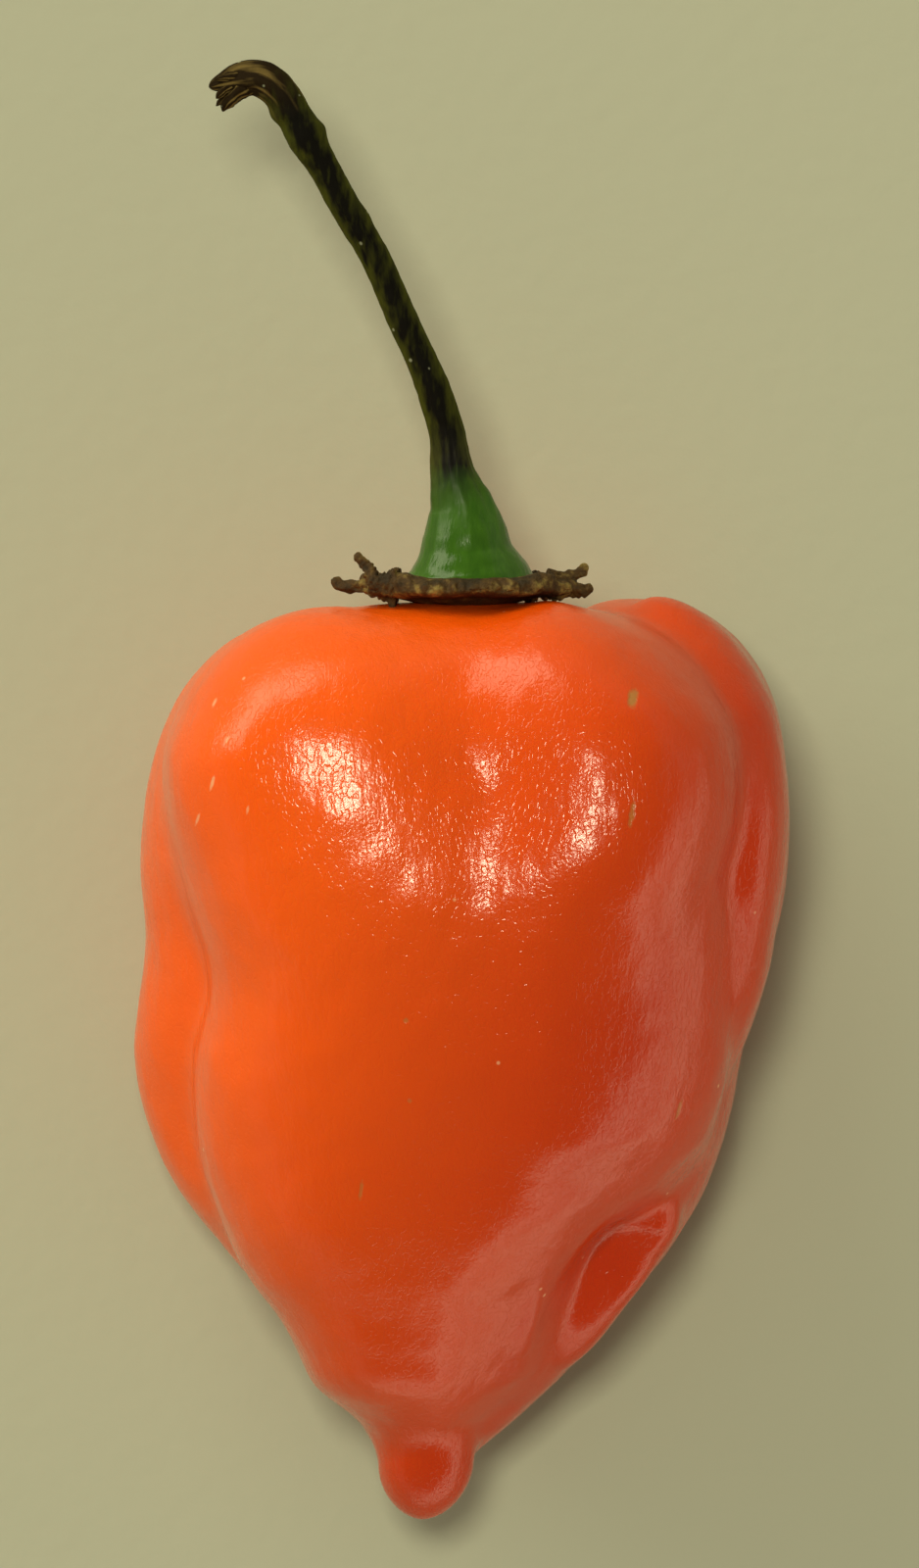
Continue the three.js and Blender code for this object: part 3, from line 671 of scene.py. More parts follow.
# ---------------------------------------------------------------- the stalk
@dataclass
class Stalk:
    """The stalk: a glossy flared foot, a thin ribbed shaft and a hooked, torn end."""

    # X, Y, Z, half width, half depth
    stations: tuple[Row, ...] = (
        (0.42, 50.8, 17.7, 3.6, 3.3), (0.4, 51.32, 17.75, 3.3, 3.1), (0.36, 51.8, 17.8, 2.95, 2.8),
        (0.3, 52.5, 17.85, 2.5, 2.45), (0.24, 53.5, 17.95, 2.2, 2.2), (0.05, 54.75, 18.1, 1.76, 1.75),
        (-0.2, 55.63, 18.2, 1.45, 1.45), (-0.44, 56.71, 18.3, 1.15, 1.15), (-0.84, 59.07, 18.55, 0.93, 0.93),
        (-1.67, 61.62, 18.85, 0.86, 0.86), (-2.86, 64.28, 19.1, 0.8, 0.8), (-4.53, 68.01, 19.5, 0.78, 0.78),
        (-6.3, 71.06, 19.85, 0.79, 0.8), (-7.49, 73.22, 20.1, 0.84, 0.84), (-8.22, 74.4, 20.2, 0.95, 0.95),
        (-8.87, 75.68, 20.3, 0.92, 0.9), (-9.6, 76.86, 20.4, 0.95, 0.9), (-10.64, 77.65, 20.4, 0.96, 0.8),
        (-11.82, 77.7, 20.3, 0.85, 0.6), (-12.8, 77.45, 20.2, 0.5, 0.45), (-13.49, 77.2, 20.15, 0.2, 0.18),
    )
    foot_top: float = 55.5  # mm, Y where the smooth foot gives way to the ribbed shaft
    foot_fade: float = 0.9  # mm over which it does
    neck: tuple[float, float] = (56.0, 2.0)  # mm, middle and half length of the wrinkled neck
    ribs: int = 5
    # swellings of the shaft: Y in mm, angle round it, height as a share of its size, half length in mm
    knuckles: tuple[Row, ...] = ((75.0, 0.0, 0.22, 0.55), (70.4, 0.1, 0.12, 0.5), (75.7, math.pi, 0.2, 0.4))
    # torn fibres of the picked end, in the columns of stations
    fibres: tuple[tuple[Row, ...], ...] = (
        ((-11.03, 77.35, 20.3, 0.45, 0.5), (-11.92, 76.86, 20.3, 0.45, 0.45),
         (-12.51, 76.37, 20.25, 0.36, 0.34), (-12.76, 75.88, 20.2, 0.16, 0.18)),
        ((-11.82, 77.55, 20.4, 0.3, 0.3), (-12.71, 76.96, 20.5, 0.24, 0.2), (-13.1, 76.57, 20.5, 0.12, 0.12)),
        ((-11.62, 77.74, 20.5, 0.35, 0.3), (-12.61, 77.7, 20.7, 0.22, 0.2), (-13.2, 77.55, 20.75, 0.1, 0.1)),
        ((-12.02, 76.96, 20.3, 0.3, 0.25), (-12.8, 76.47, 20.3, 0.18, 0.16),
         (-13.1, 76.17, 20.3, 0.08, 0.08)),
    )

    def bark(self, share: Array, angle: Array, points: Array) -> Array:
        """Relief of the stalk: five ribs that fade into the foot, knuckles, and fine lengthways wrinkles.

        Args:
            share: Share along the stalk.
            angle: Angle round it.
            points: Points of the plain shaft.

        Returns:
            Share of the plain section's size.
        """
        y = points[..., 1]
        shaft = 1 / (1 + np.exp(-(y - self.foot_top) / self.foot_fade))
        neck = np.exp(-(((y - self.neck[0]) / self.neck[1]) ** 2))
        ring = np.stack([np.cos(angle) * 2.2, np.sin(angle) * 2.2, share * 9], -1)
        ribs = 0.06 * shaft * np.cos(self.ribs * angle + 1.1 + 2.0 * share)
        wrinkles = (0.03 + 0.035 * neck) * ripple(ring, 0.75, 21) * shaft
        swell = (0.012 + 0.023 * shaft) * ripple(points, 2.6, 22) + 0.02 * ripple(points, 0.8, 23) * shaft
        knuckles = sum(
            height * np.exp(-(((y - at) / length) ** 2) - (np.cos(angle - side) - 1) ** 2 * 3)
            for at, side, height, length in self.knuckles
        )
        return 1 + ribs + wrinkles + swell + knuckles

    def torn(self, share: Array, angle: Array, points: Array) -> Array:
        """Relief of a torn fibre: short random folds."""
        return 1 + 0.2 * ripple(points, 0.7, 31) + 0.1 * ripple(points, 0.35, 32)

    def build(self) -> bpy.types.Object:
        """Makes the stalk with its torn fibres as one piece.

        Returns:
            The stalk.
        """
        shaft = sweep(np.array(self.stations), count=112, steps=620, relief=self.bark, dome=0.01)
        ends = [
            sweep(np.array(rows), count=28, steps=40, relief=self.torn, dome=0.15) for rows in self.fibres
        ]
        for end in ends:  # finished as the last twentieth of the shaft
            end.marks["along"] = end.marks["along"] * 0.05 + 0.95
        return write_mesh("stalk_shaft", [shaft, *ends])


# ---------------------------------------------------------------- finishes
def put(
    tree: bpy.types.NodeTree, kind: str, inputs: dict[Any, Any] | None = None, **settings: Any
) -> bpy.types.Node:
    """Adds a node with its settings, and fills its inputs with values or links.

    Args:
        tree: Tree that takes the node.
        kind: Blender's name of the node type.
        inputs: Value or output socket for each input, by name or number.
        **settings: Properties of the node; stops is a ramp's list of (position, colour).

    Returns:
        The new node.
    """
    node = tree.nodes.new(kind)
    for stop, (place, colour) in enumerate(settings.pop("stops", ())):
        ramp = node.color_ramp.elements
        element = ramp[stop] if stop < 2 else ramp.new(place)
        element.position, element.color = place, colour
    for name, value in settings.items():
        setattr(node, name, value)
    for key, value in (inputs or {}).items():
        if isinstance(value, bpy.types.NodeSocket):
            tree.links.new(value, node.inputs[key])
        else:
            node.inputs[key].default_value = value
    return node


def blank_material(name: str) -> tuple[bpy.types.Material, bpy.types.NodeTree]:
    """Makes a material with no nodes.

    Args:
        name: Name of the material.

    Returns:
        The material and its empty tree.
    """
    made = bpy.data.materials.new(name)
    made.use_nodes = True
    made.node_tree.nodes.clear()
    return made, made.node_tree


def per_metre(millimetres: float) -> float:
    """Pattern scale, in repeats a metre, for a feature of the given size."""
    return 1000.0 / millimetres


def row_place(x: float, y: float, z: float) -> Vector:
    """A point of the pod's frame, mm, as metres in the row's frame."""
    return Vector((np.array([x, y, z]) - PART_MIDDLE) * MM)


@dataclass(frozen=True)
class Blemish:
    """A small mark on the skin: middle (X, Y) seen from above in mm, half length, half width, turn in
    degrees from the X axis, and how strongly it shows."""

    x: float
    y: float
    long: float
    wide: float
    turn: float
    strength: float


@dataclass(frozen=True)
class RipeSkin:
    """Ripe habanero skin: a waxy cuticle over orange-red flesh. It gives a soft sheen broken up by the
    fine pebble of its cells, and a low glow where light gets into the flesh."""

    deep: str = "#BC3000"
    bright: str = "#F25A08"
    # pale of the skin's own specks, and of the painted glints on the left shoulder
    speck_and_glint: str = "#F0B98C"
    scar: str = "#A8763A"
    pebble: float = 0.2  # mm across, drawn coarser than the real cells
    crazing: float = 0.35  # mm between the short wrinkles
    streak: float = 0.7  # mm across the fine lengthways streaks
    wave: float = 2.4  # mm between the soft waves
    cloud: float = 14.0  # mm across the riper and paler patches
    ripening_and_light_slope: Row = (-45.0, 18.0, 0.0)  # per metre: the flesh is brighter towards the left and the crown, partly a riper tone and partly painted light from the upper left
    spacing: float = 2.3  # mm between the cells that may hold a pale speck
    roughness: float = 0.17
    # softer on the crown, and below 0.27 everywhere, past which the noise filter draws a line round it
    crown_roughness: float = 0.065
    crown: tuple[float, float] = (1.0, 7.0)  # mm along Y, where the crown's softness grows in
    marked: float = 11.0  # mm, height above which the marks show
    scars: tuple[Blemish, ...] = (
        Blemish(9.15, 44.4, 0.55, 0.3, 75, 0.9), Blemish(9.1, 38.3, 0.75, 0.16, 80, 0.6),
        Blemish(-5.3, 18.2, 0.55, 0.12, 82, 0.5), Blemish(11.7, 22.5, 0.5, 0.12, 70, 0.45),
        Blemish(-2.9, 27.3, 0.16, 0.14, 0, 0.5), Blemish(-2.7, 23.0, 0.15, 0.12, 0, 0.4),
    )
    # painted highlights: small pale glints of the low lamp on the left shoulder
    painted_glints: tuple[Blemish, ...] = (
        Blemish(-13.1, 44.2, 0.3, 0.09, 65, 0.55), Blemish(-12.4, 42.2, 0.28, 0.08, 60, 0.5),
        Blemish(-13.2, 39.9, 0.4, 0.09, 75, 0.6), Blemish(-14.0, 38.0, 0.35, 0.09, 70, 0.5),
        Blemish(-11.3, 38.5, 0.25, 0.08, 80, 0.45),
    )

    def marks(
        self, tree: bpy.types.NodeTree, place: bpy.types.NodeSocket, blemishes: tuple[Blemish, ...]
    ) -> bpy.types.NodeSocket:
        """Draws ragged ellipses on the upper half of the skin.

        Args:
            tree: Tree that takes the nodes.
            place: Object coordinates.
            blemishes: The marks.

        Returns:
            How strongly a mark shows, 0 off them.
        """
        ragged = put(tree, "ShaderNodeTexNoise", {"Vector": place, "Scale": per_metre(0.35), "Detail": 2.0})
        shown = None
        for mark in blemishes:
            moved = put(tree, "ShaderNodeMapping", {
                "Vector": place, "Location": row_place(mark.x, mark.y, REST_CUT),
                "Rotation": (0, 0, math.radians(mark.turn)), "Scale": (mark.long * MM, mark.wide * MM, 1e3),
            }, vector_type="TEXTURE").outputs["Vector"]
            far = put(tree, "ShaderNodeVectorMath", {0: moved}, operation="LENGTH").outputs["Value"]
            torn = put(tree, "ShaderNodeMath", {0: ragged.outputs["Fac"], 1: 1.1, 2: far},
                       operation="MULTIPLY_ADD").outputs["Value"]
            mask = put(tree, "ShaderNodeMapRange", {
                "Value": torn, "From Min": 1.1, "From Max": 1.7, "To Min": mark.strength, "To Max": 0.0,
            }).outputs["Result"]
            shown = mask if shown is None else put(tree, "ShaderNodeMath", {0: shown, 1: mask},
                                                   operation="MAXIMUM").outputs["Value"]
        height = put(tree, "ShaderNodeSeparateXYZ", {"Vector": place}).outputs["Z"]
        upper = put(tree, "ShaderNodeMath", {0: height, 1: self.marked * MM},
                    operation="GREATER_THAN").outputs["Value"]
        return put(tree, "ShaderNodeMath", {0: shown, 1: upper}, operation="MULTIPLY").outputs["Value"]

    def material(self) -> bpy.types.Material:
        """Makes the skin's material.

        Returns:
            The material.
        """
        made, tree = blank_material("ripe_chilli_skin")
        place = put(tree, "ShaderNodeTexCoord").outputs["Object"]
        clouds = put(tree, "ShaderNodeTexNoise", {
            "Vector": place, "Scale": per_metre(self.cloud), "Detail": 3.0}).outputs["Fac"]
        # partly painted light: the tone brightens towards the left and the crown, where the low lamp falls
        across = put(tree, "ShaderNodeVectorMath", {0: place, 1: self.ripening_and_light_slope},
                     operation="DOT_PRODUCT").outputs["Value"]
        ripeness_and_light = put(tree, "ShaderNodeMath", {0: clouds, 1: 0.25, 2: across},
                   operation="MULTIPLY_ADD").outputs["Value"]
        ripeness_and_light = put(tree, "ShaderNodeMath", {0: ripeness_and_light, 1: 0.54}, operation="ADD").outputs["Value"]
        tone = put(tree, "ShaderNodeValToRGB", {"Fac": ripeness_and_light},
                   stops=((0.0, linear(self.deep)), (1.0, linear(self.bright)))).outputs["Color"]
        cells = put(tree, "ShaderNodeTexVoronoi", {
            "Vector": place, "Scale": per_metre(self.spacing), "Randomness": 1.0})
        kept = put(tree, "ShaderNodeSeparateColor", {"Color": cells.outputs["Color"]}).outputs["Red"]
        dot = put(tree, "ShaderNodeMapRange", {
            "Value": cells.outputs["Distance"], "From Min": 0.03, "From Max": 0.06,
            "To Min": 1.0, "To Max": 0.0,
        }).outputs["Result"]
        rare = put(tree, "ShaderNodeMath", {0: kept, 1: 0.72}, operation="GREATER_THAN").outputs["Value"]
        specks = put(tree, "ShaderNodeMath", {0: dot, 1: rare}, operation="MULTIPLY").outputs["Value"]
        faint = put(tree, "ShaderNodeMath", {0: specks, 1: 0.55}, operation="MULTIPLY").outputs["Value"]
        wound = self.marks(tree, place, self.scars)
        # the specks and scars are the skin's own; the marks on the left shoulder are painted glints
        for share, colour in ((faint, self.speck_and_glint), (self.marks(tree, place, self.painted_glints), self.speck_and_glint),
                              (wound, self.scar)):
            tone = put(tree, "ShaderNodeMix", {"Factor": share, "A": tone, "B": linear(colour)},
                       data_type="RGBA").outputs["Result"]
        pebble = put(tree, "ShaderNodeTexNoise", {
            "Vector": place, "Scale": per_metre(self.pebble), "Detail": 2.0, "Roughness": 0.55,
        }).outputs["Fac"]
        drawn = put(tree, "ShaderNodeMapping", {"Vector": place, "Scale": (1.0, 0.16, 1.0)}).outputs["Vector"]
        streaks = put(tree, "ShaderNodeTexNoise", {
            "Vector": drawn, "Scale": per_metre(self.streak), "Detail": 2.0}).outputs["Fac"]
        waves = put(tree, "ShaderNodeTexNoise", {
            "Vector": place, "Scale": per_metre(self.wave), "Detail": 1.0}).outputs["Fac"]
        skewed = put(tree, "ShaderNodeMapping", {
            "Vector": place, "Rotation": (0, 0, math.radians(35)), "Scale": (1.0, 0.5, 1.0),
        }).outputs["Vector"]
        crazed = put(tree, "ShaderNodeTexNoise", {
            "Vector": skewed, "Scale": per_metre(self.crazing), "Detail": 1.0}).outputs["Fac"]
        middle = put(tree, "ShaderNodeMath", {0: crazed, 1: 0.5}, operation="SUBTRACT").outputs["Value"]
        off = put(tree, "ShaderNodeMath", {0: middle}, operation="ABSOLUTE").outputs["Value"]
        crease = put(tree, "ShaderNodeMapRange", {
            "Value": off, "From Min": 0.0, "From Max": 0.045}).outputs["Result"]
        facing: dict[str, bpy.types.NodeSocket] = {}
        for height, strength, deep, inwards in (  # deep is mm from the bottom to the top of each relief
            (waves, 0.6, 0.2, False), (streaks, 0.5, 0.085, False), (crease, 0.5, 0.016, False),
            (pebble, 0.5, 0.035, False), (wound, 0.5, 0.08, True),
        ):
            relief = put(tree, "ShaderNodeBump", {
                "Height": height, "Strength": strength, "Distance": deep * MM, **facing}, invert=inwards)
            facing = {"Normal": relief.outputs["Normal"]}
        worn = put(tree, "ShaderNodeMapRange", {
            "Value": clouds, "From Min": 0.3, "From Max": 0.7,
            "To Min": self.roughness - 0.02, "To Max": self.roughness + 0.03,
        }).outputs["Result"]
        length = put(tree, "ShaderNodeSeparateXYZ", {"Vector": place}).outputs["Y"]
        crown = put(tree, "ShaderNodeMapRange", {
            "Value": length, "From Min": self.crown[0] * MM, "From Max": self.crown[1] * MM,
            "To Min": 0.0, "To Max": self.crown_roughness,
        }, interpolation_type="SMOOTHSTEP").outputs["Result"]
        rough = put(tree, "ShaderNodeMath", {0: worn, 1: crown}, operation="ADD").outputs["Value"]
        shader = put(tree, "ShaderNodeBsdfPrincipled", {
            "Base Color": tone, "Roughness": rough, "IOR": 1.43, "Subsurface Weight": 0.12,
            "Subsurface Radius": (1.0, 0.3, 0.1), "Subsurface Scale": 1.6 * MM, **facing,
        })
        put(tree, "ShaderNodeOutputMaterial", {"Surface": shader.outputs["BSDF"]})
        return made


@dataclass(frozen=True)
class DriedCalyx:
    """Dead, dried calyx tissue: thin brown paper with dark folds, and pale edges that are partly worn and
    partly a painted highlight. It is matt.
    """

    dark: str = "#2A1D08"
    brown: str = "#452F0E"
    pale: str = "#85713A"
    blotch: float = 1.1  # mm across the patches of tone
    fibre: float = 0.25  # mm across the fibres of the tissue

    def material(self) -> bpy.types.Material:
        """Makes the dried tissue's material.

        Returns:
            The material.
        """
        made, tree = blank_material("dried_calyx_tissue")
        place = put(tree, "ShaderNodeTexCoord").outputs["Object"]
        blotch = put(tree, "ShaderNodeTexNoise", {
            "Vector": place, "Scale": per_metre(self.blotch), "Detail": 5.0, "Roughness": 0.65,
        }).outputs["Fac"]
        edge = put(tree, "ShaderNodeAttribute", attribute_name="along").outputs["Fac"]
        # paler at the rim's very edge: partly worn tissue, partly a painted highlight
        worn = put(tree, "ShaderNodeMath", {0: edge, 1: 0.07, 2: blotch},
                   operation="MULTIPLY_ADD").outputs["Value"]
        tone = put(tree, "ShaderNodeValToRGB", {"Fac": worn}, stops=(
            (0.4, linear(self.dark)), (0.56, linear(self.brown)), (0.72, linear(self.pale)))).outputs["Color"]
        fibre = put(tree, "ShaderNodeTexNoise", {
            "Vector": place, "Scale": per_metre(self.fibre), "Detail": 3.0}).outputs["Fac"]
        relief = put(tree, "ShaderNodeBump", {"Height": fibre, "Strength": 0.8, "Distance": 0.12 * MM})
        relief = put(tree, "ShaderNodeBump", {
            "Height": blotch, "Strength": 0.6, "Distance": 0.3 * MM, "Normal": relief.outputs["Normal"]})
        shader = put(tree, "ShaderNodeBsdfPrincipled", {
            "Base Color": tone, "Roughness": 0.7, "IOR": 1.45, "Specular IOR Level": 0.3,
            "Normal": relief.outputs["Normal"],
        })
        put(tree, "ShaderNodeOutputMaterial", {"Surface": shader.outputs["BSDF"]})
        return made


@dataclass(frozen=True)
class StalkSkin:
    """Chilli stalk: green and glossy at the foot, drying to near-black olive up the shaft, with a near-black
    stripe of painted shade along its top, and brown fibre at the torn end."""

    foot: str = "#1D4400"
    foot_pale: str = "#3F6914"
    edge: str = "#3A3C0C"
    # near-black of the painted shade along the top of the shaft
    painted_top_shade: str = "#080602"
    torn: str = "#1E1303"
    torn_pale: str = "#7A6638"
    dot: str = "#8C8F78"
    grain: float = 0.4  # mm across the lengthways grain, and across the torn fibres
    dots: float = 1.1  # mm between the pale dots of the shaft
    laid: Row = (5.0, 0.9, 0.9)  # mm that along, crest and flank each run over in the fibres' pattern

    def material(self) -> bpy.types.Material:
        """Makes the stalk's material.

        Returns:
            The material.
        """
        made, tree = blank_material("chilli_stalk")
        place = put(tree, "ShaderNodeTexCoord").outputs["Object"]
        along, crest, flank = (
            put(tree, "ShaderNodeAttribute", attribute_name=mark).outputs["Fac"]
            for mark in ("along", "crest", "flank")
        )
        drawn = put(tree, "ShaderNodeMapping", {"Vector": place, "Scale": (1.0, 0.22, 1.0)}).outputs["Vector"]
        grain = put(tree, "ShaderNodeTexNoise", {
            "Vector": drawn, "Scale": per_metre(self.grain), "Detail": 4.0}).outputs["Fac"]
        # painted shade: a ragged near-black stripe along the top of the dry shaft
        ragged = put(tree, "ShaderNodeMath", {0: grain, 1: 1.5, 2: crest},
                     operation="MULTIPLY_ADD").outputs["Value"]
        dark = put(tree, "ShaderNodeMapRange", {
            "Value": ragged, "From Min": 1.1, "From Max": 1.75}).outputs["Result"]
        # the torn fibres run along the stalk, round its hook too
        bent = put(tree, "ShaderNodeCombineXYZ", {"X": along, "Y": crest, "Z": flank}).outputs["Vector"]
        laid = put(tree, "ShaderNodeMapping", {
            "Vector": bent, "Scale": tuple(reach * MM for reach in self.laid)}).outputs["Vector"]
        fibres = put(tree, "ShaderNodeTexNoise", {
            "Vector": laid, "Scale": per_metre(self.grain), "Detail": 4.0}).outputs["Fac"]
        frayed = put(tree, "ShaderNodeMapRange", {
            "Value": fibres, "From Min": 0.5, "From Max": 0.75}).outputs["Result"]
        green, shaft, fibre = (
            put(tree, "ShaderNodeMix", {"Factor": share, "A": linear(low), "B": linear(high)},
                data_type="RGBA").outputs["Result"]
            for share, low, high in ((grain, self.foot, self.foot_pale), (dark, self.edge, self.painted_top_shade),
                                     (frayed, self.torn, self.torn_pale))
        )
        shift = put(tree, "ShaderNodeMath", {0: grain, 1: 0.06, 2: along},
                    operation="MULTIPLY_ADD").outputs["Value"]
        dried, ended = (
            put(tree, "ShaderNodeMapRange", {
                "Value": shift, "From Min": start, "From Max": end}).outputs["Result"]
            for start, end in ((0.15, 0.23), (0.86, 0.93))
        )
        cells = put(tree, "ShaderNodeTexVoronoi", {"Vector": place, "Scale": per_metre(self.dots)})
        dot = put(tree, "ShaderNodeMapRange", {
            "Value": cells.outputs["Distance"], "From Min": 0.07, "From Max": 0.11,
            "To Min": 0.7, "To Max": 0.0,
        }).outputs["Result"]
        spotted = put(tree, "ShaderNodeMath", {0: dot, 1: dried}, operation="MULTIPLY").outputs["Value"]
        tone = green
        for share, over in ((dried, shaft), (ended, fibre), (spotted, linear(self.dot))):
            tone = put(tree, "ShaderNodeMix", {"Factor": share, "A": tone, "B": over},
                       data_type="RGBA").outputs["Result"]
        relief = put(tree, "ShaderNodeBump", {"Height": grain, "Strength": 0.6, "Distance": 0.1 * MM})
        rough, gloss = (  # the foot is smooth and glossy, the dry shaft is neither
            put(tree, "ShaderNodeMapRange", {
                "Value": shift, "From Min": 0.1, "From Max": 0.3, "To Min": foot, "To Max": dry,
            }).outputs["Result"]
            for foot, dry in ((0.2, 0.8), (0.38, 0.12))
        )
        shader = put(tree, "ShaderNodeBsdfPrincipled", {
            "Base Color": tone, "Roughness": rough, "IOR": 1.45, "Specular IOR Level": gloss,
            "Normal": relief.outputs["Normal"],
        })
        put(tree, "ShaderNodeOutputMaterial", {"Surface": shader.outputs["BSDF"]})
        return made


@dataclass(frozen=True)
class PalePaper:
    """Plain matt paper with a faint tooth."""

    colour: str = "#B3B5A3"
    tooth: float = 1.4  # mm across its tooth

    def material(self) -> bpy.types.Material:
        """Makes the paper's material.

        Returns:
            The material.
        """
        made, tree = blank_material("pale_paper")
        place = put(tree, "ShaderNodeTexCoord").outputs["Object"]
        tooth = put(tree, "ShaderNodeTexNoise", {
            "Vector": place, "Scale": per_metre(self.tooth), "Detail": 4.0}).outputs["Fac"]
        relief = put(tree, "ShaderNodeBump", {"Height": tooth, "Strength": 0.25, "Distance": 0.15 * MM})
        shader = put(tree, "ShaderNodeBsdfPrincipled", {
            "Base Color": linear(self.colour), "Roughness": 0.9, "Specular IOR Level": 0.2,
            "Normal": relief.outputs["Normal"],
        })
        put(tree, "ShaderNodeOutputMaterial", {"Surface": shader.outputs["BSDF"]})
        return made


# ---------------------------------------------------------------- the set
@dataclass
class Studio:
    """Pale floor, a soft light overhead, a low one at the upper left, even fill, and a camera above."""

    floor_half: float = 1.5  # m
    floor_gap: float = 0.00003  # m under the belly, so that the two surfaces don't meet
    sensor: float = 36.0  # mm
    distance: float = 0.9  # m from the camera to the widest part of the pod
    tall: float = 0.0846  # m of the view's height at that distance
    aim: Row = (-0.05, 39.86, 14.0)  # pod frame, mm
    lit: Row = (0.0, 0.0, 0.01)  # m, the point that the lamps face
    # lamps: name, direction, distance, width and height in m, watts
    lamps: tuple[tuple[str, Row, float, float, float, float], ...] = (
        ("overhead", (-0.08, 0.13, 1.0), 1.2, 0.21, 0.21, 7.0),
        ("side", (-0.63, 0.74, 0.29), 0.95, 1.15, 0.5, 7.6),
    )
    bounce: Row = (0.64, -0.77, 0.128)  # way and distance to the middle of the pale light from the tabletop
    bounce_size: tuple[float, float] = (0.4, 0.13)  # m, across and away
    bounce_height: float = 0.002  # m over the tabletop
    bounce_watts: float = 0.2
    tint: Row = (1.0, 0.95, 0.68)  # of the light
    # height of the direction, brightness
    room: tuple[Row, ...] = ((0.0, 0.75), (0.17, 0.55), (0.3, 0.35), (0.5, 0.25), (1.0, 0.22))
    glow: float = 1.7
    glow_way: Row = (0.64, -0.77, 0.0)  # direction of the long low glow
    glow_spread: float = 65.0  # degrees from its middle to its ends
    glow_top: Row = (0.1, 0.32)  # height where the glow starts to fade, and where it ends

    def floor(self) -> None:
        """Lays the floor, a plain square just under the belly."""
        mesh = bpy.data.meshes.new("floor")
        h, z = self.floor_half, -self.floor_gap
        mesh.from_pydata([(-h, -h, z), (h, -h, z), (h, h, z), (-h, h, z)], [], [(0, 1, 2, 3)])
        floor = bpy.data.objects.new("floor", mesh)
        floor.data.materials.append(PalePaper().material())
        bpy.context.scene.collection.objects.link(floor)

    def lamp(
        self, name: str, place: Row, aim: Row, size: tuple[float, float], watts: float
    ) -> bpy.types.Object:
        """Hangs a rectangular lamp that faces a point.

        Args:
            name: Name of the lamp.
            place: Where it hangs, m.
            aim: The point it faces, m.
            size: Width and height, m.
            watts: Power.

        Returns:
            The lamp.
        """
        light = bpy.data.lights.new(name, "AREA")
        light.shape, light.size, light.size_y = "RECTANGLE", size[0], size[1]
        light.energy, light.color = watts, self.tint
        lamp = bpy.data.objects.new(name, light)
        lamp.location = place
        lamp.rotation_euler = (Vector(aim) - Vector(place)).to_track_quat("-Z", "Y").to_euler()
        bpy.context.scene.collection.objects.link(lamp)
        return lamp

    def world(self) -> None:
        """Sets the room: bright low down all round and dimmer overhead, with a long low glow on the right.

        Brightness is a curve of the direction's height, plus glow x smooth step of its dot product with
        the direction of the glow x smooth step down its height.
        """
        world = bpy.data.worlds.new("soft_room")
        world.use_nodes = True
        tree = world.node_tree
        tree.nodes.clear()
        towards = put(tree, "ShaderNodeTexCoord").outputs["Generated"]
        height = put(tree, "ShaderNodeSeparateXYZ", {"Vector": towards}).outputs["Z"]
        room = put(tree, "ShaderNodeValToRGB", {"Fac": height},
                   stops=[(at, (grey, grey, grey, 1.0)) for at, grey in self.room]).outputs["Color"]
        way = Vector(self.glow_way).normalized()
        near = put(tree, "ShaderNodeVectorMath", {0: towards, 1: way},
                   operation="DOT_PRODUCT").outputs["Value"]
        glow = put(tree, "ShaderNodeMapRange", {
            "Value": near, "From Min": math.cos(math.radians(self.glow_spread)), "From Max": 1.0,
            "To Min": 0.0, "To Max": self.glow,
        }, interpolation_type="SMOOTHERSTEP").outputs["Result"]
        low = put(tree, "ShaderNodeMapRange", {
            "Value": height, "From Min": self.glow_top[0], "From Max": self.glow_top[1],
            "To Min": 1.0, "To Max": 0.0,
        }, interpolation_type="SMOOTHSTEP").outputs["Result"]
        glow = put(tree, "ShaderNodeMath", {0: glow, 1: low}, operation="MULTIPLY").outputs["Value"]
        grey = put(tree, "ShaderNodeVectorMath", {0: room, 1: glow}, operation="ADD").outputs["Vector"]
        light = put(tree, "ShaderNodeVectorMath", {0: grey, 1: self.tint}, operation="MULTIPLY")
        sky = put(tree, "ShaderNodeBackground", {"Color": light.outputs["Vector"], "Strength": 1.0})
        put(tree, "ShaderNodeOutputWorld", {"Surface": sky.outputs["Background"]})
        bpy.context.scene.world = world

    def camera(self) -> None:
        """Hangs the camera straight above the chilli, with the stalk towards the top of the view."""
        data = bpy.data.cameras.new("camera")
        data.sensor_width = self.sensor
        data.lens = self.sensor * self.distance / self.tall
        data.clip_start, data.clip_end = 0.01, 20
        camera = bpy.data.objects.new("camera", data)
        camera.location = row_place(*self.aim) + Vector((0, 0, self.distance))
        bpy.context.scene.collection.objects.link(camera)
        bpy.context.scene.camera = camera

    def build(self) -> None:
        """Sets out the floor, the light and the camera."""
        self.floor()
        self.world()
        for name, way, away, wide, high, watts in self.lamps:
            self.lamp(name, tuple(Vector(way).normalized() * away), self.lit, (wide, high), watts)
        x, y, away = self.bounce
        place = (x * away, y * away, self.bounce_height)
        under = self.lamp("bounce", place, (*place[:2], 1.0), self.bounce_size, self.bounce_watts)
        under.rotation_euler.z = math.atan2(y, x) + math.pi / 2
        under.visible_camera = False
        self.camera()
        bpy.context.scene.view_settings.view_transform = "Standard"


# ---------------------------------------------------------------- assembly
def dress(piece: bpy.types.Object, finish: bpy.types.Material, node: str) -> None:
    """Gives a piece its finish and its place in the part.

    Args:
        piece: The new object.
        finish: Its material.
        node: CAD node that it stands for.
    """
    piece.data.materials.append(finish)
    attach(piece, Body.ROOT.value)
    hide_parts(node)
    log.info("%s stands for %s: %d faces", piece.name, node, len(piece.data.polygons))


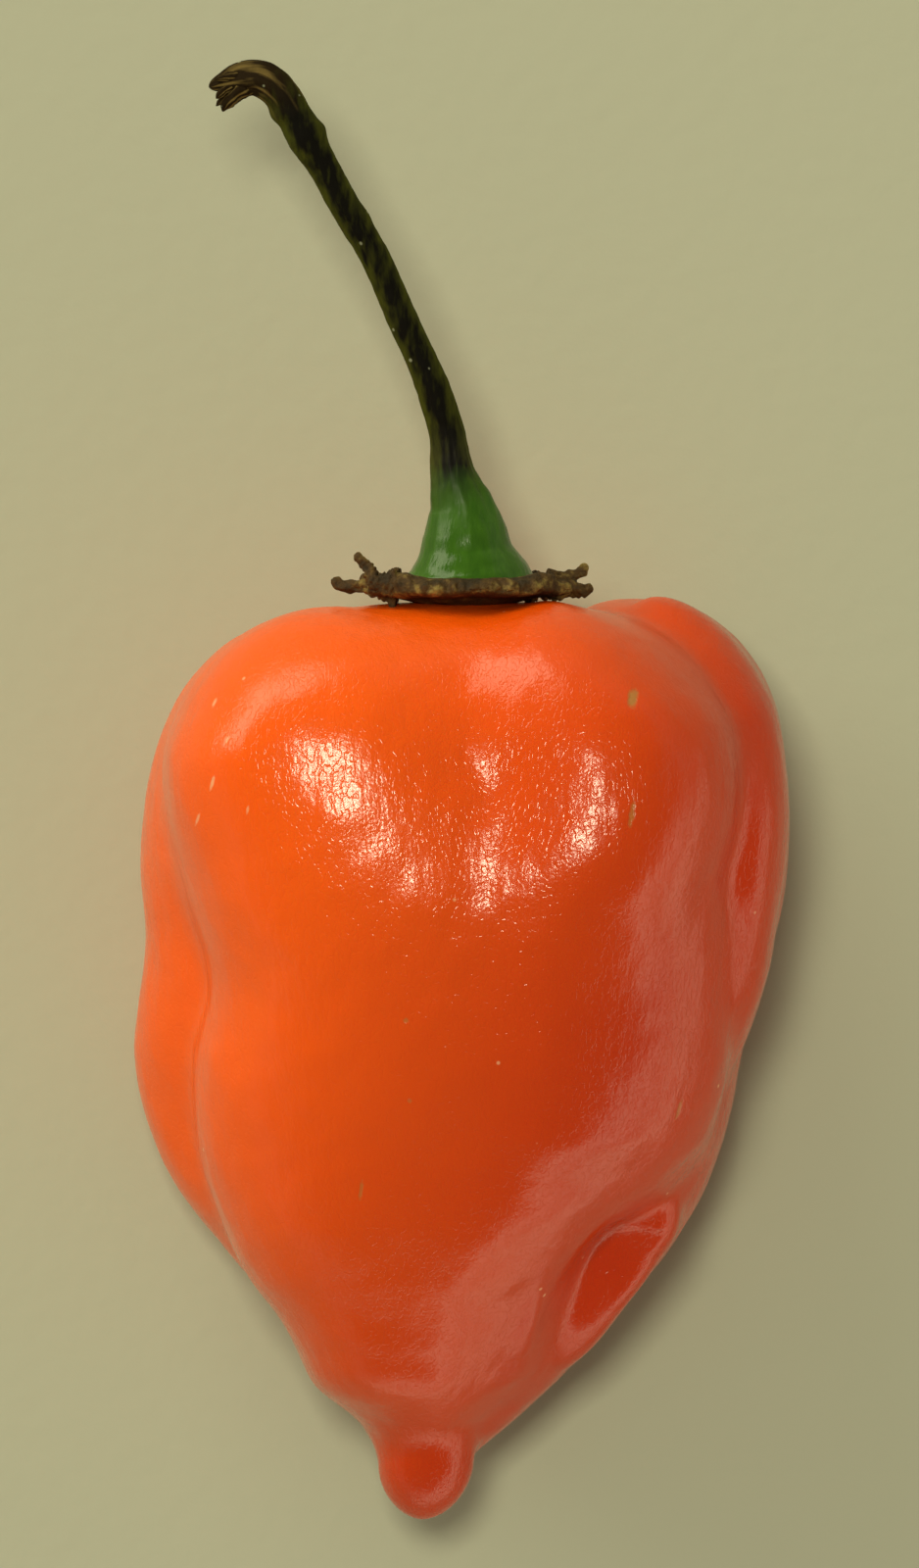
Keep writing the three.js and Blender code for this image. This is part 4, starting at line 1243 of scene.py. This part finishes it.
def main() -> None:
    """Builds the chilli and its set."""
    logging.basicConfig(level=logging.INFO, format="%(message)s")
    pod = Pod()
    dress(pod.build(), RipeSkin().material(), "fruit")
    dress(Calyx(pod).build(), DriedCalyx().material(), "calyx")
    dress(Stalk().build(), StalkSkin().material(), "stem")
    Studio().build()


if __name__ == "__main__":
    main()
